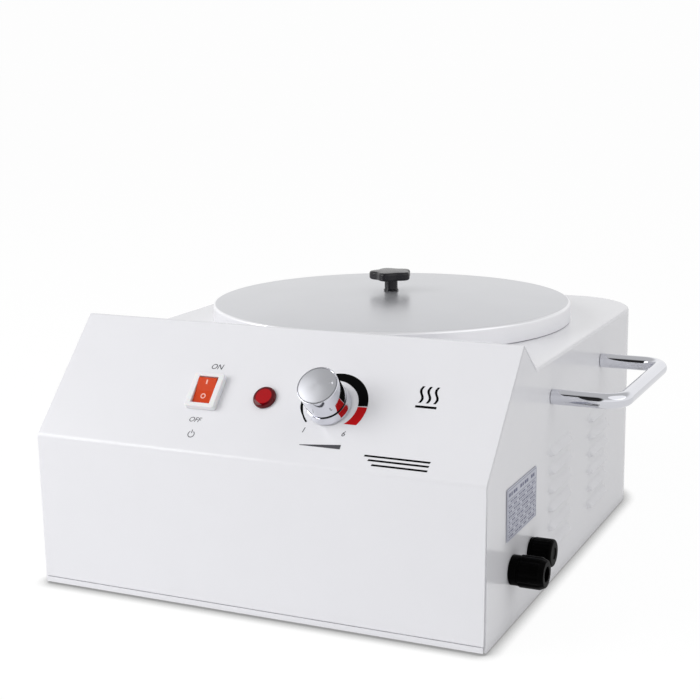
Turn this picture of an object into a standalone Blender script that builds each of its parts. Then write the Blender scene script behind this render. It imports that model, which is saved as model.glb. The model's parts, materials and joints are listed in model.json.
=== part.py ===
"""Single-pot wax heater.

A folded steel housing with a sloping control panel holds a heated well. A lift-out aluminium pot
stands in the well under a loose domed lid. Two bow handles are screwed to the side walls, and the
cable gland and the fuse holder come out of the right-hand wall.

Metres, +Z up. The origin lies on the ground under the middle of the housing, and the control panel
faces -Y. Places along Y are given from the housing's front face and moved by from_front().
"""

from math import asin, atan2, ceil, cos, hypot, pi, radians, sin, sqrt

import bmesh
import bpy
from mathutils import Matrix, Vector

# Fits and finish shared by every piece
SEAT_GAP = 0.0003
CUT_OVERRUN = 0.001
SHARP_ANGLE = radians(38)
SMALLEST_BEND = 0.0002

# Pot, a spun aluminium bucket that hangs by its flange
POT_RADIUS = 0.119
POT_WALL = 0.0015
POT_DEPTH = 0.1103
POT_BASE_BEND = 0.010
POT_FLANGE = 0.010
POT_FLANGE_THICK = 0.0015
POT_RIM_BEAD = 0.0022

# Lid, a spun aluminium dome over the pot's flange
LID_SHEET = 0.0012
LID_SLIP = 0.00125
LID_RIM_HEIGHT = 0.0131
LID_CROWN = 0.0065
LID_EDGE_BEND = 0.0020

# Lid knob, a six-lobed head on a round stem
LID_KNOB_RADIUS = 0.0160
LID_KNOB_LOBES = 5
LID_KNOB_LOBE_DEPTH = 0.0030
LID_KNOB_THICK = 0.0064
LID_KNOB_EDGE = 0.0014
LID_KNOB_TURN = radians(56.7)
LID_STEM_RADIUS = 0.0048
LID_STEM_HEIGHT = 0.0082
LID_SCREW_RADIUS = 0.0020
LID_SCREW_HEAD_RADIUS = 0.0040
LID_SCREW_HEAD_THICK = 0.0024
LID_SCREW_BITE = 0.0040
LID_SCREW_SLIP = 0.0002

# Folded sheet housing; its plan is sized round the lid, its height by the stack under the pot
SHEET = 0.0012
SIDE_MARGIN = 0.02355
LID_FRONT_MARGIN = 0.0040
REAR_MARGIN = 0.0120
REAR_CORNER = 0.054
FRONT_HEIGHT = 0.1023
SLOPE_RUN = 0.0669
RIDGE_RISE = 0.0209
RIDGE_DROP_RUN = 0.0259
FRONT_BEND = 0.0045
RIDGE_BEND = 0.0024
VALLEY_BEND = 0.0010
SKIRT_CLEARANCE = 0.0015
LIP_HEIGHT = 0.0035
LIP_SEAM = 0.0005
TRAY_UPSTAND = 0.012
BEND_STEPS = 4
CORNER_STEPS = 10

# Stack under the pot, from the tray upwards
BOARD_THICK = 0.008
HEATER_SPACE = 0.0125
CLAMP_THICK = 0.002
ELEMENT_DIAMETER = 0.0065
HOT_PLATE_THICK = 0.0065

# Well and heater
WELL_CLEARANCE = 0.0035
WELL_SHEET = 0.0012
WELL_FLANGE = 0.0095
WELL_LIP = 0.0125
DECK_HOLE_SLIP = 0.0015
HOT_PLATE_SLIP = 0.0005
SLEEVE_THICK = 0.0075
BOARD_INSET = 0.010
CLAMP_CLEARANCE = 0.001
CLAMP_NOTCH_WIDTH = 0.070
CLAMP_NOTCH_DEPTH = 0.032
ELEMENT_INSET = 0.012
ELEMENT_GAP_ANGLE = radians(36)
ELEMENT_TAIL_BEND = 0.009
ELEMENT_TAIL = 0.003
CLAMP_BOLT_RADIUS = 0.0025
CLAMP_BOLT_SLIP = 0.00015
CLAMP_BOLT_HEAD_RADIUS = 0.0050
CLAMP_BOLT_HEAD_THICK = 0.0030
CLAMP_BOLT_BITE = 0.0045
BOSS_RADIUS = 0.009
CUTOUT_RADIUS = 0.0075
CUTOUT_HEIGHT = 0.010
CUTOUT_CLEARANCE = 0.002
BULB_RADIUS = 0.00325
BULB_LENGTH = 0.056
BULB_CLEARANCE = 0.004
BULB_CLIP_WIDTH = 0.012
BULB_CLIP_THICK = 0.0015
BULB_CLIP_FOOT = 0.0035
CAPILLARY_RADIUS = 0.0012

# Feet and their screws
FOOT_RADIUS = 0.010
FOOT_TAPER = 0.0012
FOOT_INSET = 0.030
FOOT_SCREW_RADIUS = 0.0019
FOOT_SCREW_HEAD_RADIUS = 0.0038
FOOT_SCREW_HEAD_THICK = 0.0012
FOOT_SCREW_RECESS = 0.0008
FOOT_SCREW_STAND = 0.006
FOOT_BORE_SLIP = 0.0003

# Bow handles of round rod, screwed from inside the walls
HANDLE_SPACING = 0.120
HANDLE_REACH = 0.0449
HANDLE_ROD_RADIUS = 0.005
HANDLE_BEND = 0.014
HANDLE_BELOW_DECK = 0.0243
HANDLE_SCREW_RADIUS = 0.0025
HANDLE_SCREW_BITE = 0.012
HANDLE_SCREW_SLIP = 0.00015
HANDLE_SCREW_HEAD_RADIUS = 0.0046
HANDLE_SCREW_HEAD_THICK = 0.0030
HANDLE_BORE_SPARE = 0.002

# Louvres, lanced outwards and open at their lower edge, in two columns on each side wall
LOUVRE_ROWS = 6
LOUVRE_PITCH = 0.01255
LOUVRE_TOP_Z = 0.0892
LOUVRE_LENGTH = 0.049
LOUVRE_HEIGHT = 0.0060
LOUVRE_RISE = 0.0022
LOUVRE_END_TAPER = 0.0035
LOUVRE_SKIN = 0.0008
LOUVRE_COLUMN_SHARES = (0.325, 0.578)

# Control panel: places across the width and up the slope
SWITCH_X_SHARE = -0.1403
LAMP_X_SHARE = -0.0050
KNOB_X_SHARE = 0.1406
CONTROL_V_SHARE = 0.446
KNOB_V_SHARE = 0.438

# Rocker switch, shown switched off: its upper end stands out
BEZEL_WIDTH = 0.0216
BEZEL_LENGTH = 0.0250
BEZEL_HEIGHT = 0.0042
BEZEL_CORNER = 0.0016
BEZEL_CHAMFER = 0.0006
SWITCH_BODY_WIDTH = 0.0185
SWITCH_BODY_LENGTH = 0.0220
SWITCH_BODY_DEPTH = 0.0240
SWITCH_BODY_CORNER = 0.0008
SWITCH_CUTOUT_SLIP = 0.0003
ROCKER_WIDTH = 0.0134
ROCKER_END_RADIUS = 0.0094
ROCKER_SIDE_SLIP = 0.0003
ROCKER_END_SLIP = 0.0004
ROCKER_PIVOT_HEIGHT = 0.0006
ROCKER_CREST = 0.0030
ROCKER_TOP_ANGLE = radians(28)
ROCKER_SKIRT_ANGLE = radians(22)
ROCKER_TILT = radians(9)
ROCKER_POCKET_DEPTH = 0.0110
ROCKER_PIN_RADIUS = 0.0009
ROCKER_PIN_REACH = 0.0012
ROCKER_PIN_SLIP = 0.0001
TERMINAL_WIDTH = 0.0063
TERMINAL_THICK = 0.0008
TERMINAL_LENGTH = 0.0080
TERMINAL_SPACING = 0.0110

# Indicator lamp
LENS_RADIUS = 0.0076
LENS_SKIRT = 0.0012
LENS_DOME = 0.0030
LAMP_BODY_RADIUS = 0.0062
LAMP_BODY_DEPTH = 0.0240
LAMP_HOLE_SLIP = 0.0003
LAMP_CLIP_RADIUS = 0.0090
LAMP_CLIP_THICK = 0.0010
LAMP_CLIP_SLIP = 0.0002

# Thermostat behind the panel, and its chromed knob with a satin cap
THERMOSTAT_WIDTH = 0.036
THERMOSTAT_LENGTH = 0.042
THERMOSTAT_DEPTH = 0.030
NECK_RADIUS = 0.0050
NECK_HEIGHT = 0.0052
NECK_SLIP = 0.0002
NECK_NUT_FLATS = 0.0140
NECK_NUT_THICK = 0.0030
SHAFT_RADIUS = 0.0030
SHAFT_TOP = 0.0185
SHAFT_BELOW = 0.0085
SHAFT_SLIP = 0.00015
KNOB_LIFT = 0.0008
KNOB_HEIGHT = 0.0241
KNOB_RADIUS = 0.0131
KNOB_SKIRT_RADIUS = 0.0142
KNOB_SKIRT_EDGE = 0.0014
KNOB_SKIRT_HEIGHT = 0.0075
KNOB_CHAMFER = 0.0007
KNOB_CAVITY_RADIUS = 0.0100
KNOB_CAVITY_TOP = 0.0064
KNOB_BORE_TOP = 0.0190
KNOB_CAP_RADIUS = 0.0121
KNOB_CAP_SINK = 0.0008
KNOB_CAP_SLIP = 0.00015
KNOB_CAP_DOME = 0.0016
POINTER_ANGLE = radians(12.5)
POINTER_PLACE_RADIUS = 0.0088
POINTER_RADIUS = 0.0016
POINTER_DEPTH = 0.0005

# Fittings on the right-hand wall
FITTING_Z = 0.0372
GLAND_Y = 0.0478
GLAND_THREAD_RADIUS = 0.0078
GLAND_FLANGE_RADIUS = 0.0093
GLAND_FLANGE_THICK = 0.0052
GLAND_SPIGOT_RADIUS = 0.0070
GLAND_SPIGOT_LENGTH = 0.0085
GLAND_BORE_RADIUS = 0.0046
GLAND_INNER_LENGTH = 0.0090
GLAND_NUT_RADIUS = 0.0099
GLAND_NUT_LENGTH = 0.0162
GLAND_NUT_NOSE = 0.0030
GLAND_NUT_NOSE_RADIUS = 0.0082
WALL_HOLE_SLIP = 0.0003
LOCKNUT_THICK = 0.0030
LOCKNUT_FLATS_SHARE = 1.35
LOCKNUT_SLIP = 0.0002
FUSE_Y = 0.085
FUSE_BODY_RADIUS = 0.0062
FUSE_BODY_DEPTH = 0.0300
FUSE_FLANGE_RADIUS = 0.0086
FUSE_FLANGE_THICK = 0.0020
FUSE_BORE_RADIUS = 0.0031
FUSE_LINK_RADIUS = 0.0026
FUSE_LINK_LENGTH = 0.0200
FUSE_LINK_CAP = 0.0050
FUSE_GLASS_RADIUS = 0.0023
FUSE_PLUG_RADIUS = 0.0027
FUSE_PLUG_DEPTH = 0.0035
FUSE_CAP_RADIUS = 0.0089
FUSE_CAP_LENGTH = 0.0128
FUSE_CAP_ROUND = 0.0018
PLATE_LENGTH = 0.0574
PLATE_HEIGHT = 0.0326
PLATE_THICK = 0.0004
PLATE_CORNER = 0.0010
PLATE_Y = 0.0643
PLATE_Z = 0.0741

# Terminal block, earth stud and internal wires
BLOCK_LENGTH = 0.030
BLOCK_WIDTH = 0.016
BLOCK_HEIGHT = 0.014
BLOCK_X_SHARE = 0.275
BLOCK_Y = 0.050
EARTH_X_SHARE = -0.275
EARTH_Y = 0.045
EARTH_STUD_RADIUS = 0.0020
EARTH_STUD_HEIGHT = 0.0120
EARTH_HEAD_RADIUS = 0.0038
EARTH_HEAD_THICK = 0.0010
EARTH_NUT_FLATS = 0.0070
EARTH_NUT_THICK = 0.0032
EARTH_SLIP = 0.00015
WIRE_RADIUS = 0.0012
WIRE_STEP_DIAMETERS = 2.5
WIRE_STUB = 0.008

# Round pieces: sides of the large, middling and small ones, and steps along their edges
LARGE_STEPS = 60
MIDDLE_STEPS = 28
SMALL_STEPS = 16
TUBE_STEPS = 10
WIRE_STEPS = 6
EDGE_STEPS = 3
DOME_STEPS = 4
LOBE_STEPS = 8

# Finishes: colour, roughness, metallic
FINISHES = {
    "white_enamel": ((0.90, 0.90, 0.92), 0.28, 0.0),
    "satin_aluminium": ((0.72, 0.72, 0.74), 0.38, 1.0),
    "spun_aluminium": ((0.80, 0.80, 0.81), 0.30, 1.0),
    "chrome": ((0.82, 0.83, 0.85), 0.08, 1.0),
    "zinc": ((0.62, 0.63, 0.62), 0.40, 1.0),
    "black_nylon": ((0.02, 0.02, 0.02), 0.45, 0.0),
    "black_gloss": ((0.015, 0.015, 0.018), 0.15, 0.0),
    "white_plastic": ((0.88, 0.88, 0.88), 0.35, 0.0),
    "orange_plastic": ((0.85, 0.22, 0.05), 0.25, 0.0),
    "red_lens": ((0.45, 0.01, 0.01), 0.12, 0.0),
    "mineral_wool": ((0.70, 0.68, 0.60), 0.95, 0.0),
    "rubber": ((0.03, 0.03, 0.03), 0.80, 0.0),
    "bakelite": ((0.10, 0.07, 0.05), 0.50, 0.0),
    "brass": ((0.75, 0.60, 0.28), 0.30, 1.0),
    "copper": ((0.80, 0.45, 0.30), 0.35, 1.0),
    "glass": ((0.80, 0.85, 0.85), 0.05, 0.0),
    "blue_wire": ((0.05, 0.15, 0.60), 0.50, 0.0),
    "brown_wire": ((0.25, 0.10, 0.04), 0.50, 0.0),
}

# Sizes that follow from the driving ones
TRAY_TOP = SKIRT_CLEARANCE + LIP_HEIGHT
TRAY_BOTTOM = TRAY_TOP - SHEET
BOARD_TOP = TRAY_TOP + SEAT_GAP + BOARD_THICK
CLAMP_BOTTOM = BOARD_TOP + HEATER_SPACE
CLAMP_TOP = CLAMP_BOTTOM + CLAMP_THICK
ELEMENT_BOTTOM = CLAMP_TOP + SEAT_GAP
ELEMENT_Z = ELEMENT_BOTTOM + ELEMENT_DIAMETER / 2
HOT_PLATE_BOTTOM = ELEMENT_BOTTOM + ELEMENT_DIAMETER + SEAT_GAP
HOT_PLATE_TOP = HOT_PLATE_BOTTOM + HOT_PLATE_THICK
POT_BOTTOM = HOT_PLATE_TOP + SEAT_GAP
POT_SEAT = POT_BOTTOM + POT_DEPTH
DECK_TOP = POT_SEAT - SEAT_GAP
DECK_UNDER = DECK_TOP - SHEET
RIDGE_HEIGHT = DECK_TOP + RIDGE_RISE
VALLEY_Y = SLOPE_RUN + RIDGE_DROP_RUN

POT_FLANGE_RADIUS = POT_RADIUS + POT_FLANGE
LID_INNER_RADIUS = POT_FLANGE_RADIUS + LID_SLIP
LID_RADIUS = LID_INNER_RADIUS + LID_SHEET
LID_BOTTOM = DECK_TOP + SEAT_GAP
LID_EDGE_TOP = LID_BOTTOM + LID_RIM_HEIGHT
LID_TOP = LID_EDGE_TOP + LID_CROWN
STEM_TOP = LID_TOP + SEAT_GAP + LID_STEM_HEIGHT

HOUSING_WIDTH = 2 * (LID_RADIUS + SIDE_MARGIN)
HALF_WIDTH = HOUSING_WIDTH / 2
POT_Y = VALLEY_Y + LID_FRONT_MARGIN + LID_RADIUS
HOUSING_DEPTH = POT_Y + LID_RADIUS + REAR_MARGIN
WALL_INSET = SHEET + SEAT_GAP

WELL_RADIUS = POT_RADIUS + WELL_CLEARANCE
WELL_OUTER = WELL_RADIUS + WELL_SHEET
WELL_TOP = DECK_UNDER - SEAT_GAP
WELL_LIP_TOP = HOT_PLATE_BOTTOM - SEAT_GAP
WELL_BOTTOM = WELL_LIP_TOP - WELL_SHEET
WELL_LIP_RADIUS = WELL_RADIUS - WELL_LIP
PLATE_RADIUS = WELL_RADIUS - HOT_PLATE_SLIP
BOSS_BOTTOM = CLAMP_TOP + SEAT_GAP
BOARD_RADIUS = WELL_LIP_RADIUS - BOARD_INSET
CUTOUT_PLACE_RADIUS = WELL_LIP_RADIUS - CUTOUT_CLEARANCE - CUTOUT_RADIUS
CLAMP_RADIUS = CUTOUT_PLACE_RADIUS - CUTOUT_RADIUS - CLAMP_CLEARANCE
ELEMENT_RING_RADIUS = CLAMP_RADIUS - ELEMENT_INSET
BULB_CLIP_INNER = BULB_RADIUS + SEAT_GAP
BULB_CLIP_OUTER = BULB_CLIP_INNER + BULB_CLIP_THICK
BULB_CLIP_REACH = BULB_CLIP_OUTER + BULB_CLIP_FOOT
BULB_PLACE_RADIUS = WELL_LIP_RADIUS - BULB_CLEARANCE - BULB_CLIP_REACH

SLOPE_ANGLE = atan2(RIDGE_HEIGHT - FRONT_HEIGHT, SLOPE_RUN)
SLOPE_LENGTH = hypot(RIDGE_HEIGHT - FRONT_HEIGHT, SLOPE_RUN)
CONTROL_V = CONTROL_V_SHARE * SLOPE_LENGTH
KNOB_V = KNOB_V_SHARE * SLOPE_LENGTH
SWITCH_X = SWITCH_X_SHARE * HOUSING_WIDTH
LAMP_X = LAMP_X_SHARE * HOUSING_WIDTH
KNOB_X = KNOB_X_SHARE * HOUSING_WIDTH
BEHIND_PANEL = -(SHEET + SEAT_GAP)
HANDLE_Z = DECK_TOP - HANDLE_BELOW_DECK


def from_front(distance):
    """World Y of a place measured back from the housing's front face."""
    return distance - HOUSING_DEPTH / 2


def clear_scene():
    for obj in list(bpy.data.objects):
        bpy.data.objects.remove(obj, do_unlink=True)


def paint(obj, finish):
    """Gives the object its own Principled material."""
    colour, roughness, metallic = FINISHES[finish]
    material = bpy.data.materials.new(f"{obj.name}_{finish}")
    material.use_nodes = True
    shader = material.node_tree.nodes["Principled BSDF"]
    shader.inputs["Base Color"].default_value = (*colour, 1.0)
    shader.inputs["Roughness"].default_value = roughness
    shader.inputs["Metallic"].default_value = metallic
    obj.data.materials.append(material)


def frame(name, place, turn=(0.0, 0.0, 0.0)):
    """An empty that carries the pieces of one sub-assembly."""
    empty = bpy.data.objects.new(name, None)
    empty.location = place
    empty.rotation_euler = turn
    bpy.context.scene.collection.objects.link(empty)
    return empty


def link_mesh(name, bm, carrier, place):
    bmesh.ops.recalc_face_normals(bm, faces=bm.faces)
    mesh = bpy.data.meshes.new(name)
    bm.to_mesh(mesh)
    bm.free()
    mesh.shade_smooth()
    mesh.set_sharp_from_angle(angle=SHARP_ANGLE)
    obj = bpy.data.objects.new(name, mesh)
    obj.parent = carrier
    obj.location = place
    bpy.context.scene.collection.objects.link(obj)
    return obj


def piece(name, bm, finish, carrier=None, place=(0.0, 0.0, 0.0)):
    """One named sub-part."""
    obj = link_mesh(name, bm, carrier, place)
    paint(obj, finish)
    return obj


def combine(obj, bm, operation, carrier=None, place=(0.0, 0.0, 0.0)):
    """Cuts a tool shape out of a piece, or joins it on, with an exact Boolean."""
    tool = link_mesh(f"{obj.name}_{operation.lower()}_{len(obj.modifiers)}", bm, carrier, place)
    tool.hide_render = True
    tool.display_type = "WIRE"
    modifier = obj.modifiers.new(operation.title(), "BOOLEAN")
    modifier.operation = operation
    modifier.object = tool
    modifier.solver = "EXACT"


def loft(loops):
    """A closed solid through loops of equal length, capped at both ends."""
    bm = bmesh.new()
    rings = [[bm.verts.new(point) for point in loop] for loop in loops]
    bm.faces.new(list(reversed(rings[0])))
    bm.faces.new(rings[-1])
    for near, far in zip(rings, rings[1:]):
        for i in range(len(near)):
            j = (i + 1) % len(near)
            bm.faces.new((near[i], near[j], far[j], far[i]))
    return bm


def turned(outline, steps):
    """A closed (radius, height) outline swept round Z. A radius of zero makes a pole."""
    bm = bmesh.new()
    angles = [2 * pi * i / steps for i in range(steps)]
    rings = []
    for radius, height in outline:
        if radius == 0:
            rings.append([bm.verts.new((0, 0, height))])
        else:
            rings.append([bm.verts.new((radius * cos(a), radius * sin(a), height)) for a in angles])
    for lower, upper in zip(rings, rings[1:] + rings[:1]):
        for i in range(steps):
            j = (i + 1) % steps
            corners = (lower[i % len(lower)], lower[j % len(lower)], upper[j % len(upper)], upper[i % len(upper)])
            corners = list(dict.fromkeys(corners))
            if len(corners) > 2:
                bm.faces.new(corners)
    return bm


def prism(outline, low, high):
    """An (x, y) outline raised along Z."""
    return loft([[(x, y, z) for x, y in outline] for z in (low, high)])


def box_outline(width, length):
    x = width / 2
    y = length / 2
    return [(-x, -y), (x, -y), (x, y), (-x, y)]


def rounded_box_outline(width, length, corner):
    """A rectangle centred on the origin with rounded corners."""
    points = []
    for sign_x, sign_y, start in ((1, -1, -pi / 2), (1, 1, 0), (-1, 1, pi / 2), (-1, -1, pi)):
        centre_x = sign_x * (width / 2 - corner)
        centre_y = sign_y * (length / 2 - corner)
        for i in range(BEND_STEPS + 1):
            angle = start + pi / 2 * i / BEND_STEPS
            points.append((centre_x + corner * cos(angle), centre_y + corner * sin(angle)))
    return points


def circle_outline(radius, steps):
    return [(radius * cos(2 * pi * i / steps), radius * sin(2 * pi * i / steps)) for i in range(steps)]


def rod(radius, low, high, steps):
    """A plain cylinder along Z."""
    return prism(circle_outline(radius, steps), low, high)


def along_x(bm):
    """Turns a shape built along Z so that it runs along X."""
    bmesh.ops.rotate(bm, verts=bm.verts, matrix=Matrix.Rotation(pi / 2, 3, "Y"))
    return bm


def moved(bm, offset):
    bmesh.ops.translate(bm, verts=bm.verts, vec=offset)
    return bm


def hexagon(flats):
    return circle_outline(flats / sqrt(3), 6)


def nut(name, flats, bore, low, high, finish, carrier, place=(0.0, 0.0, 0.0)):
    """A hexagon nut along the carrier's Z."""
    obj = piece(name, prism(hexagon(flats), low, high), finish, carrier, place)
    combine(obj, rod(bore, low - CUT_OVERRUN, high + CUT_OVERRUN, SMALL_STEPS), "DIFFERENCE", carrier, place)
    return obj


def offset_polyline(points, distance):
    """The open polyline moved to the right of its direction of travel, with mitred corners."""
    units = []
    for (ax, ay), (bx, by) in zip(points, points[1:]):
        length = hypot(bx - ax, by - ay)
        units.append(((bx - ax) / length, (by - ay) / length))
    normals = [(uy, -ux) for ux, uy in units]
    result = []
    for i, (x, y) in enumerate(points):
        before = normals[max(i - 1, 0)]
        after = normals[min(i, len(normals) - 1)]
        scale = distance / (1 + before[0] * after[0] + before[1] * after[1])
        result.append((x + scale * (before[0] + after[0]), y + scale * (before[1] + after[1])))
    return result


def fillet_polyline(points, radii, steps):
    """Rounds each inner corner of an open polyline with its own radius."""
    result = [points[0]]
    for previous, corner, following, radius in zip(points, points[1:], points[2:], radii):
        corner = Vector(corner)
        back = (Vector(previous) - corner).normalized()
        ahead = (Vector(following) - corner).normalized()
        half_angle = back.angle(ahead) / 2
        centre = corner + (back + ahead).normalized() * (radius / sin(half_angle))
        start = corner + back * (radius * cos(half_angle) / sin(half_angle)) - centre
        sweep = pi - 2 * half_angle
        if back.cross(ahead) > 0:
            sweep = -sweep
        for i in range(steps + 1):
            spoke = Matrix.Rotation(sweep * i / steps, 2) @ start
            result.append(tuple(centre + spoke))
    result.append(points[-1])
    return result


def tube(path, radius, steps):
    """A round bar along a list of points, with flat ends."""
    points = [Vector(p) for p in path]
    tangents = []
    for i in range(len(points)):
        ahead = points[min(i + 1, len(points) - 1)]
        behind = points[max(i - 1, 0)]
        tangents.append((ahead - behind).normalized())
    side = tangents[0].orthogonal().normalized()
    loops = []
    for point, tangent in zip(points, tangents):
        side = (side - tangent * side.dot(tangent)).normalized()
        other = tangent.cross(side)
        spokes = [side * cos(2 * pi * k / steps) + other * sin(2 * pi * k / steps) for k in range(steps)]
        loops.append([point + spoke * radius for spoke in spokes])
    return loft(loops)


def smooth_route(route, spacing):
    """Points at an even spacing on a smooth curve through a route, with straight first and last legs."""
    knots = [Vector(p) for p in route]
    points = [knots[0]]
    for a, b, c, d in zip(knots, knots[1:], knots[2:], knots[3:]):
        count = max(2, ceil((c - b).length / spacing))
        for i in range(count):
            t = i / count
            spline = 2 * b + (c - a) * t + (2 * a - 5 * b + 4 * c - d) * t**2 + (3 * b - a - 3 * c + d) * t**3
            points.append(spline / 2)
    return points + knots[-2:]


def arc_points(centre, radius, start, end, steps):
    """Points of an arc in the XY plane, as (x, y)."""
    spread = [start + (end - start) * i / steps for i in range(steps + 1)]
    return [(centre[0] + radius * cos(a), centre[1] + radius * sin(a)) for a in spread]


def housing_corners():
    """Side view of the housing's outer skin, from the front's lower edge to the rear, as (y, z)."""
    return [
        (0.0, TRAY_TOP + LIP_SEAM),
        (0.0, FRONT_HEIGHT),
        (SLOPE_RUN, RIDGE_HEIGHT),
        (VALLEY_Y, DECK_TOP),
        (HOUSING_DEPTH, DECK_TOP),
    ]


def bend_radii(inset):
    """Bend radii of the skin at an inset: the front and ridge close up, the valley opens."""
    front = max(FRONT_BEND - inset, SMALLEST_BEND)
    ridge = max(RIDGE_BEND - inset, SMALLEST_BEND)
    return front, ridge, VALLEY_BEND + inset


def ridge_rear_point(inset, height):
    """The point at a height on the ridge's rear face, moved into the sheet by an inset."""
    ridge, valley = Vector(housing_corners()[2]), Vector(housing_corners()[3])
    down = (valley - ridge).normalized()
    inward = Vector((down.y, -down.x))
    start = ridge + inward * inset
    return tuple(start + down * ((height - start.y) / down.y))


def console_side(inset):
    """Side view of one face of the console sheet."""
    corners = offset_polyline(housing_corners()[:4], inset)
    corners[-1] = ridge_rear_point(inset, DECK_UNDER)
    return fillet_polyline(corners, bend_radii(inset)[:2], BEND_STEPS)


def plan_corner(inset):
    """Right rear corner of the housing's plan at an inset, from the side wall to the rear wall."""
    radius = max(REAR_CORNER - inset, SMALLEST_BEND)
    centre = (HALF_WIDTH - REAR_CORNER, from_front(HOUSING_DEPTH - REAR_CORNER))
    return arc_points(centre, radius, 0, pi / 2, CORNER_STEPS)


def mirrored(points):
    """The same points on the other side of the housing, in reverse order."""
    return [(-x, y) for x, y in reversed(points)]


def build_console_panel(slope):
    """Front, slope, ridge and the ridge's rear face, folded from one sheet."""
    outline = console_side(0) + list(reversed(console_side(SHEET)))
    loops = [[(x, from_front(y), z) for y, z in outline] for x in (-HALF_WIDTH, HALF_WIDTH)]
    panel = piece("console_panel", loft(loops), "white_enamel")
    low, high = -(SHEET + CUT_OVERRUN), CUT_OVERRUN
    width = SWITCH_BODY_WIDTH + 2 * SWITCH_CUTOUT_SLIP
    length = SWITCH_BODY_LENGTH + 2 * SWITCH_CUTOUT_SLIP
    combine(panel, prism(box_outline(width, length), low, high), "DIFFERENCE", slope, (SWITCH_X, CONTROL_V, 0))
    lamp_hole = rod(LAMP_BODY_RADIUS + LAMP_HOLE_SLIP, low, high, SMALL_STEPS)
    combine(panel, lamp_hole, "DIFFERENCE", slope, (LAMP_X, CONTROL_V, 0))
    neck_hole = rod(NECK_RADIUS + NECK_SLIP, low, high, SMALL_STEPS)
    combine(panel, neck_hole, "DIFFERENCE", slope, (KNOB_X, KNOB_V, 0))


def build_top_deck(axis):
    """Flat deck with the pot's hole, resting on the side wrap."""
    front = from_front(ridge_rear_point(0, DECK_UNDER)[0] + SEAT_GAP)
    outline = [(HALF_WIDTH, front)] + plan_corner(0) + mirrored(plan_corner(0)) + [(-HALF_WIDTH, front)]
    deck = piece("top_deck", prism(outline, DECK_UNDER, DECK_TOP), "white_enamel")
    hole = rod(POT_RADIUS + DECK_HOLE_SLIP, DECK_UNDER - CUT_OVERRUN, DECK_TOP + CUT_OVERRUN, LARGE_STEPS)
    combine(deck, hole, "DIFFERENCE", axis)


def louvre(side, y, z, skin, back, drop):
    """One louvre's wedge: outer shape with no skin, or the hollow under a skin."""
    wall = side * (HALF_WIDTH - back)
    crest = side * (HALF_WIDTH + LOUVRE_RISE - skin)
    y0, y1 = y + skin, y + LOUVRE_LENGTH - skin
    low, high = z - drop, z + LOUVRE_HEIGHT - skin
    base_start = [(wall, y0, low), (wall, y0, high)]
    base_end = [(wall, y1, low), (wall, y1, high)]
    crest_start = (crest, y0 + LOUVRE_END_TAPER, low)
    crest_end = (crest, y1 - LOUVRE_END_TAPER, low)
    return loft([base_start + [crest_start], base_end + [crest_end]])


def louvre_set(skin, back, drop):
    """All the louvre wedges of both side walls in one tool shape."""
    bm = bmesh.new()
    for side in (-1, 1):
        for share in LOUVRE_COLUMN_SHARES:
            for row in range(LOUVRE_ROWS):
                y = from_front(share * HOUSING_DEPTH)
                wedge = louvre(side, y, LOUVRE_TOP_Z - row * LOUVRE_PITCH, skin, back, drop)
                bmesh.ops.recalc_face_normals(wedge, faces=wedge.faces)
                mesh = bpy.data.meshes.new("louvre_wedge")
                wedge.to_mesh(mesh)
                wedge.free()
                bm.from_mesh(mesh)
                bpy.data.meshes.remove(mesh)
    return bm


def build_side_wrap(gland, fuse):
    """Right wall, rear wall with round corners and left wall, bent from one sheet."""
    tops = fillet_polyline(offset_polyline(housing_corners(), WALL_INSET), bend_radii(WALL_INSET), BEND_STEPS)
    columns = [((HALF_WIDTH, from_front(y)), (HALF_WIDTH - SHEET, from_front(y)), z) for y, z in tops[1:-1]]
    columns += [(outer, inner, DECK_UNDER - SEAT_GAP) for outer, inner in zip(plan_corner(0), plan_corner(SHEET))]
    columns += [((-o[0], o[1]), (-i[0], i[1]), z) for o, i, z in reversed(columns)]
    low = SKIRT_CLEARANCE
    loops = [[(*outer, low), (*outer, top), (*inner, top), (*inner, low)] for outer, inner, top in columns]
    wrap = piece("side_wrap", loft(loops), "white_enamel")
    combine(wrap, louvre_set(0, SHEET / 2, 0), "UNION")
    combine(wrap, louvre_set(LOUVRE_SKIN, SHEET + CUT_OVERRUN, LOUVRE_SKIN), "DIFFERENCE")
    low, high = -(SHEET + CUT_OVERRUN), CUT_OVERRUN
    combine(wrap, rod(GLAND_THREAD_RADIUS + WALL_HOLE_SLIP, low, high, SMALL_STEPS), "DIFFERENCE", gland)
    combine(wrap, rod(FUSE_BODY_RADIUS + WALL_HOLE_SLIP, low, high, SMALL_STEPS), "DIFFERENCE", fuse)
    reach = HALF_WIDTH + CUT_OVERRUN
    for y in (-HANDLE_SPACING / 2, HANDLE_SPACING / 2):
        hole = along_x(rod(HANDLE_SCREW_RADIUS + WALL_HOLE_SLIP, -reach, reach, SMALL_STEPS))
        combine(wrap, hole, "DIFFERENCE", None, (0, y, HANDLE_Z))


def tray_outline(inset):
    """Plan of the tray inside the walls, moved in by a further inset."""
    side = HALF_WIDTH - WALL_INSET - inset
    front = from_front(WALL_INSET + inset)
    corner = plan_corner(WALL_INSET + inset)
    return [(side, front)] + corner + mirrored(corner) + [(-side, front)]


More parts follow.
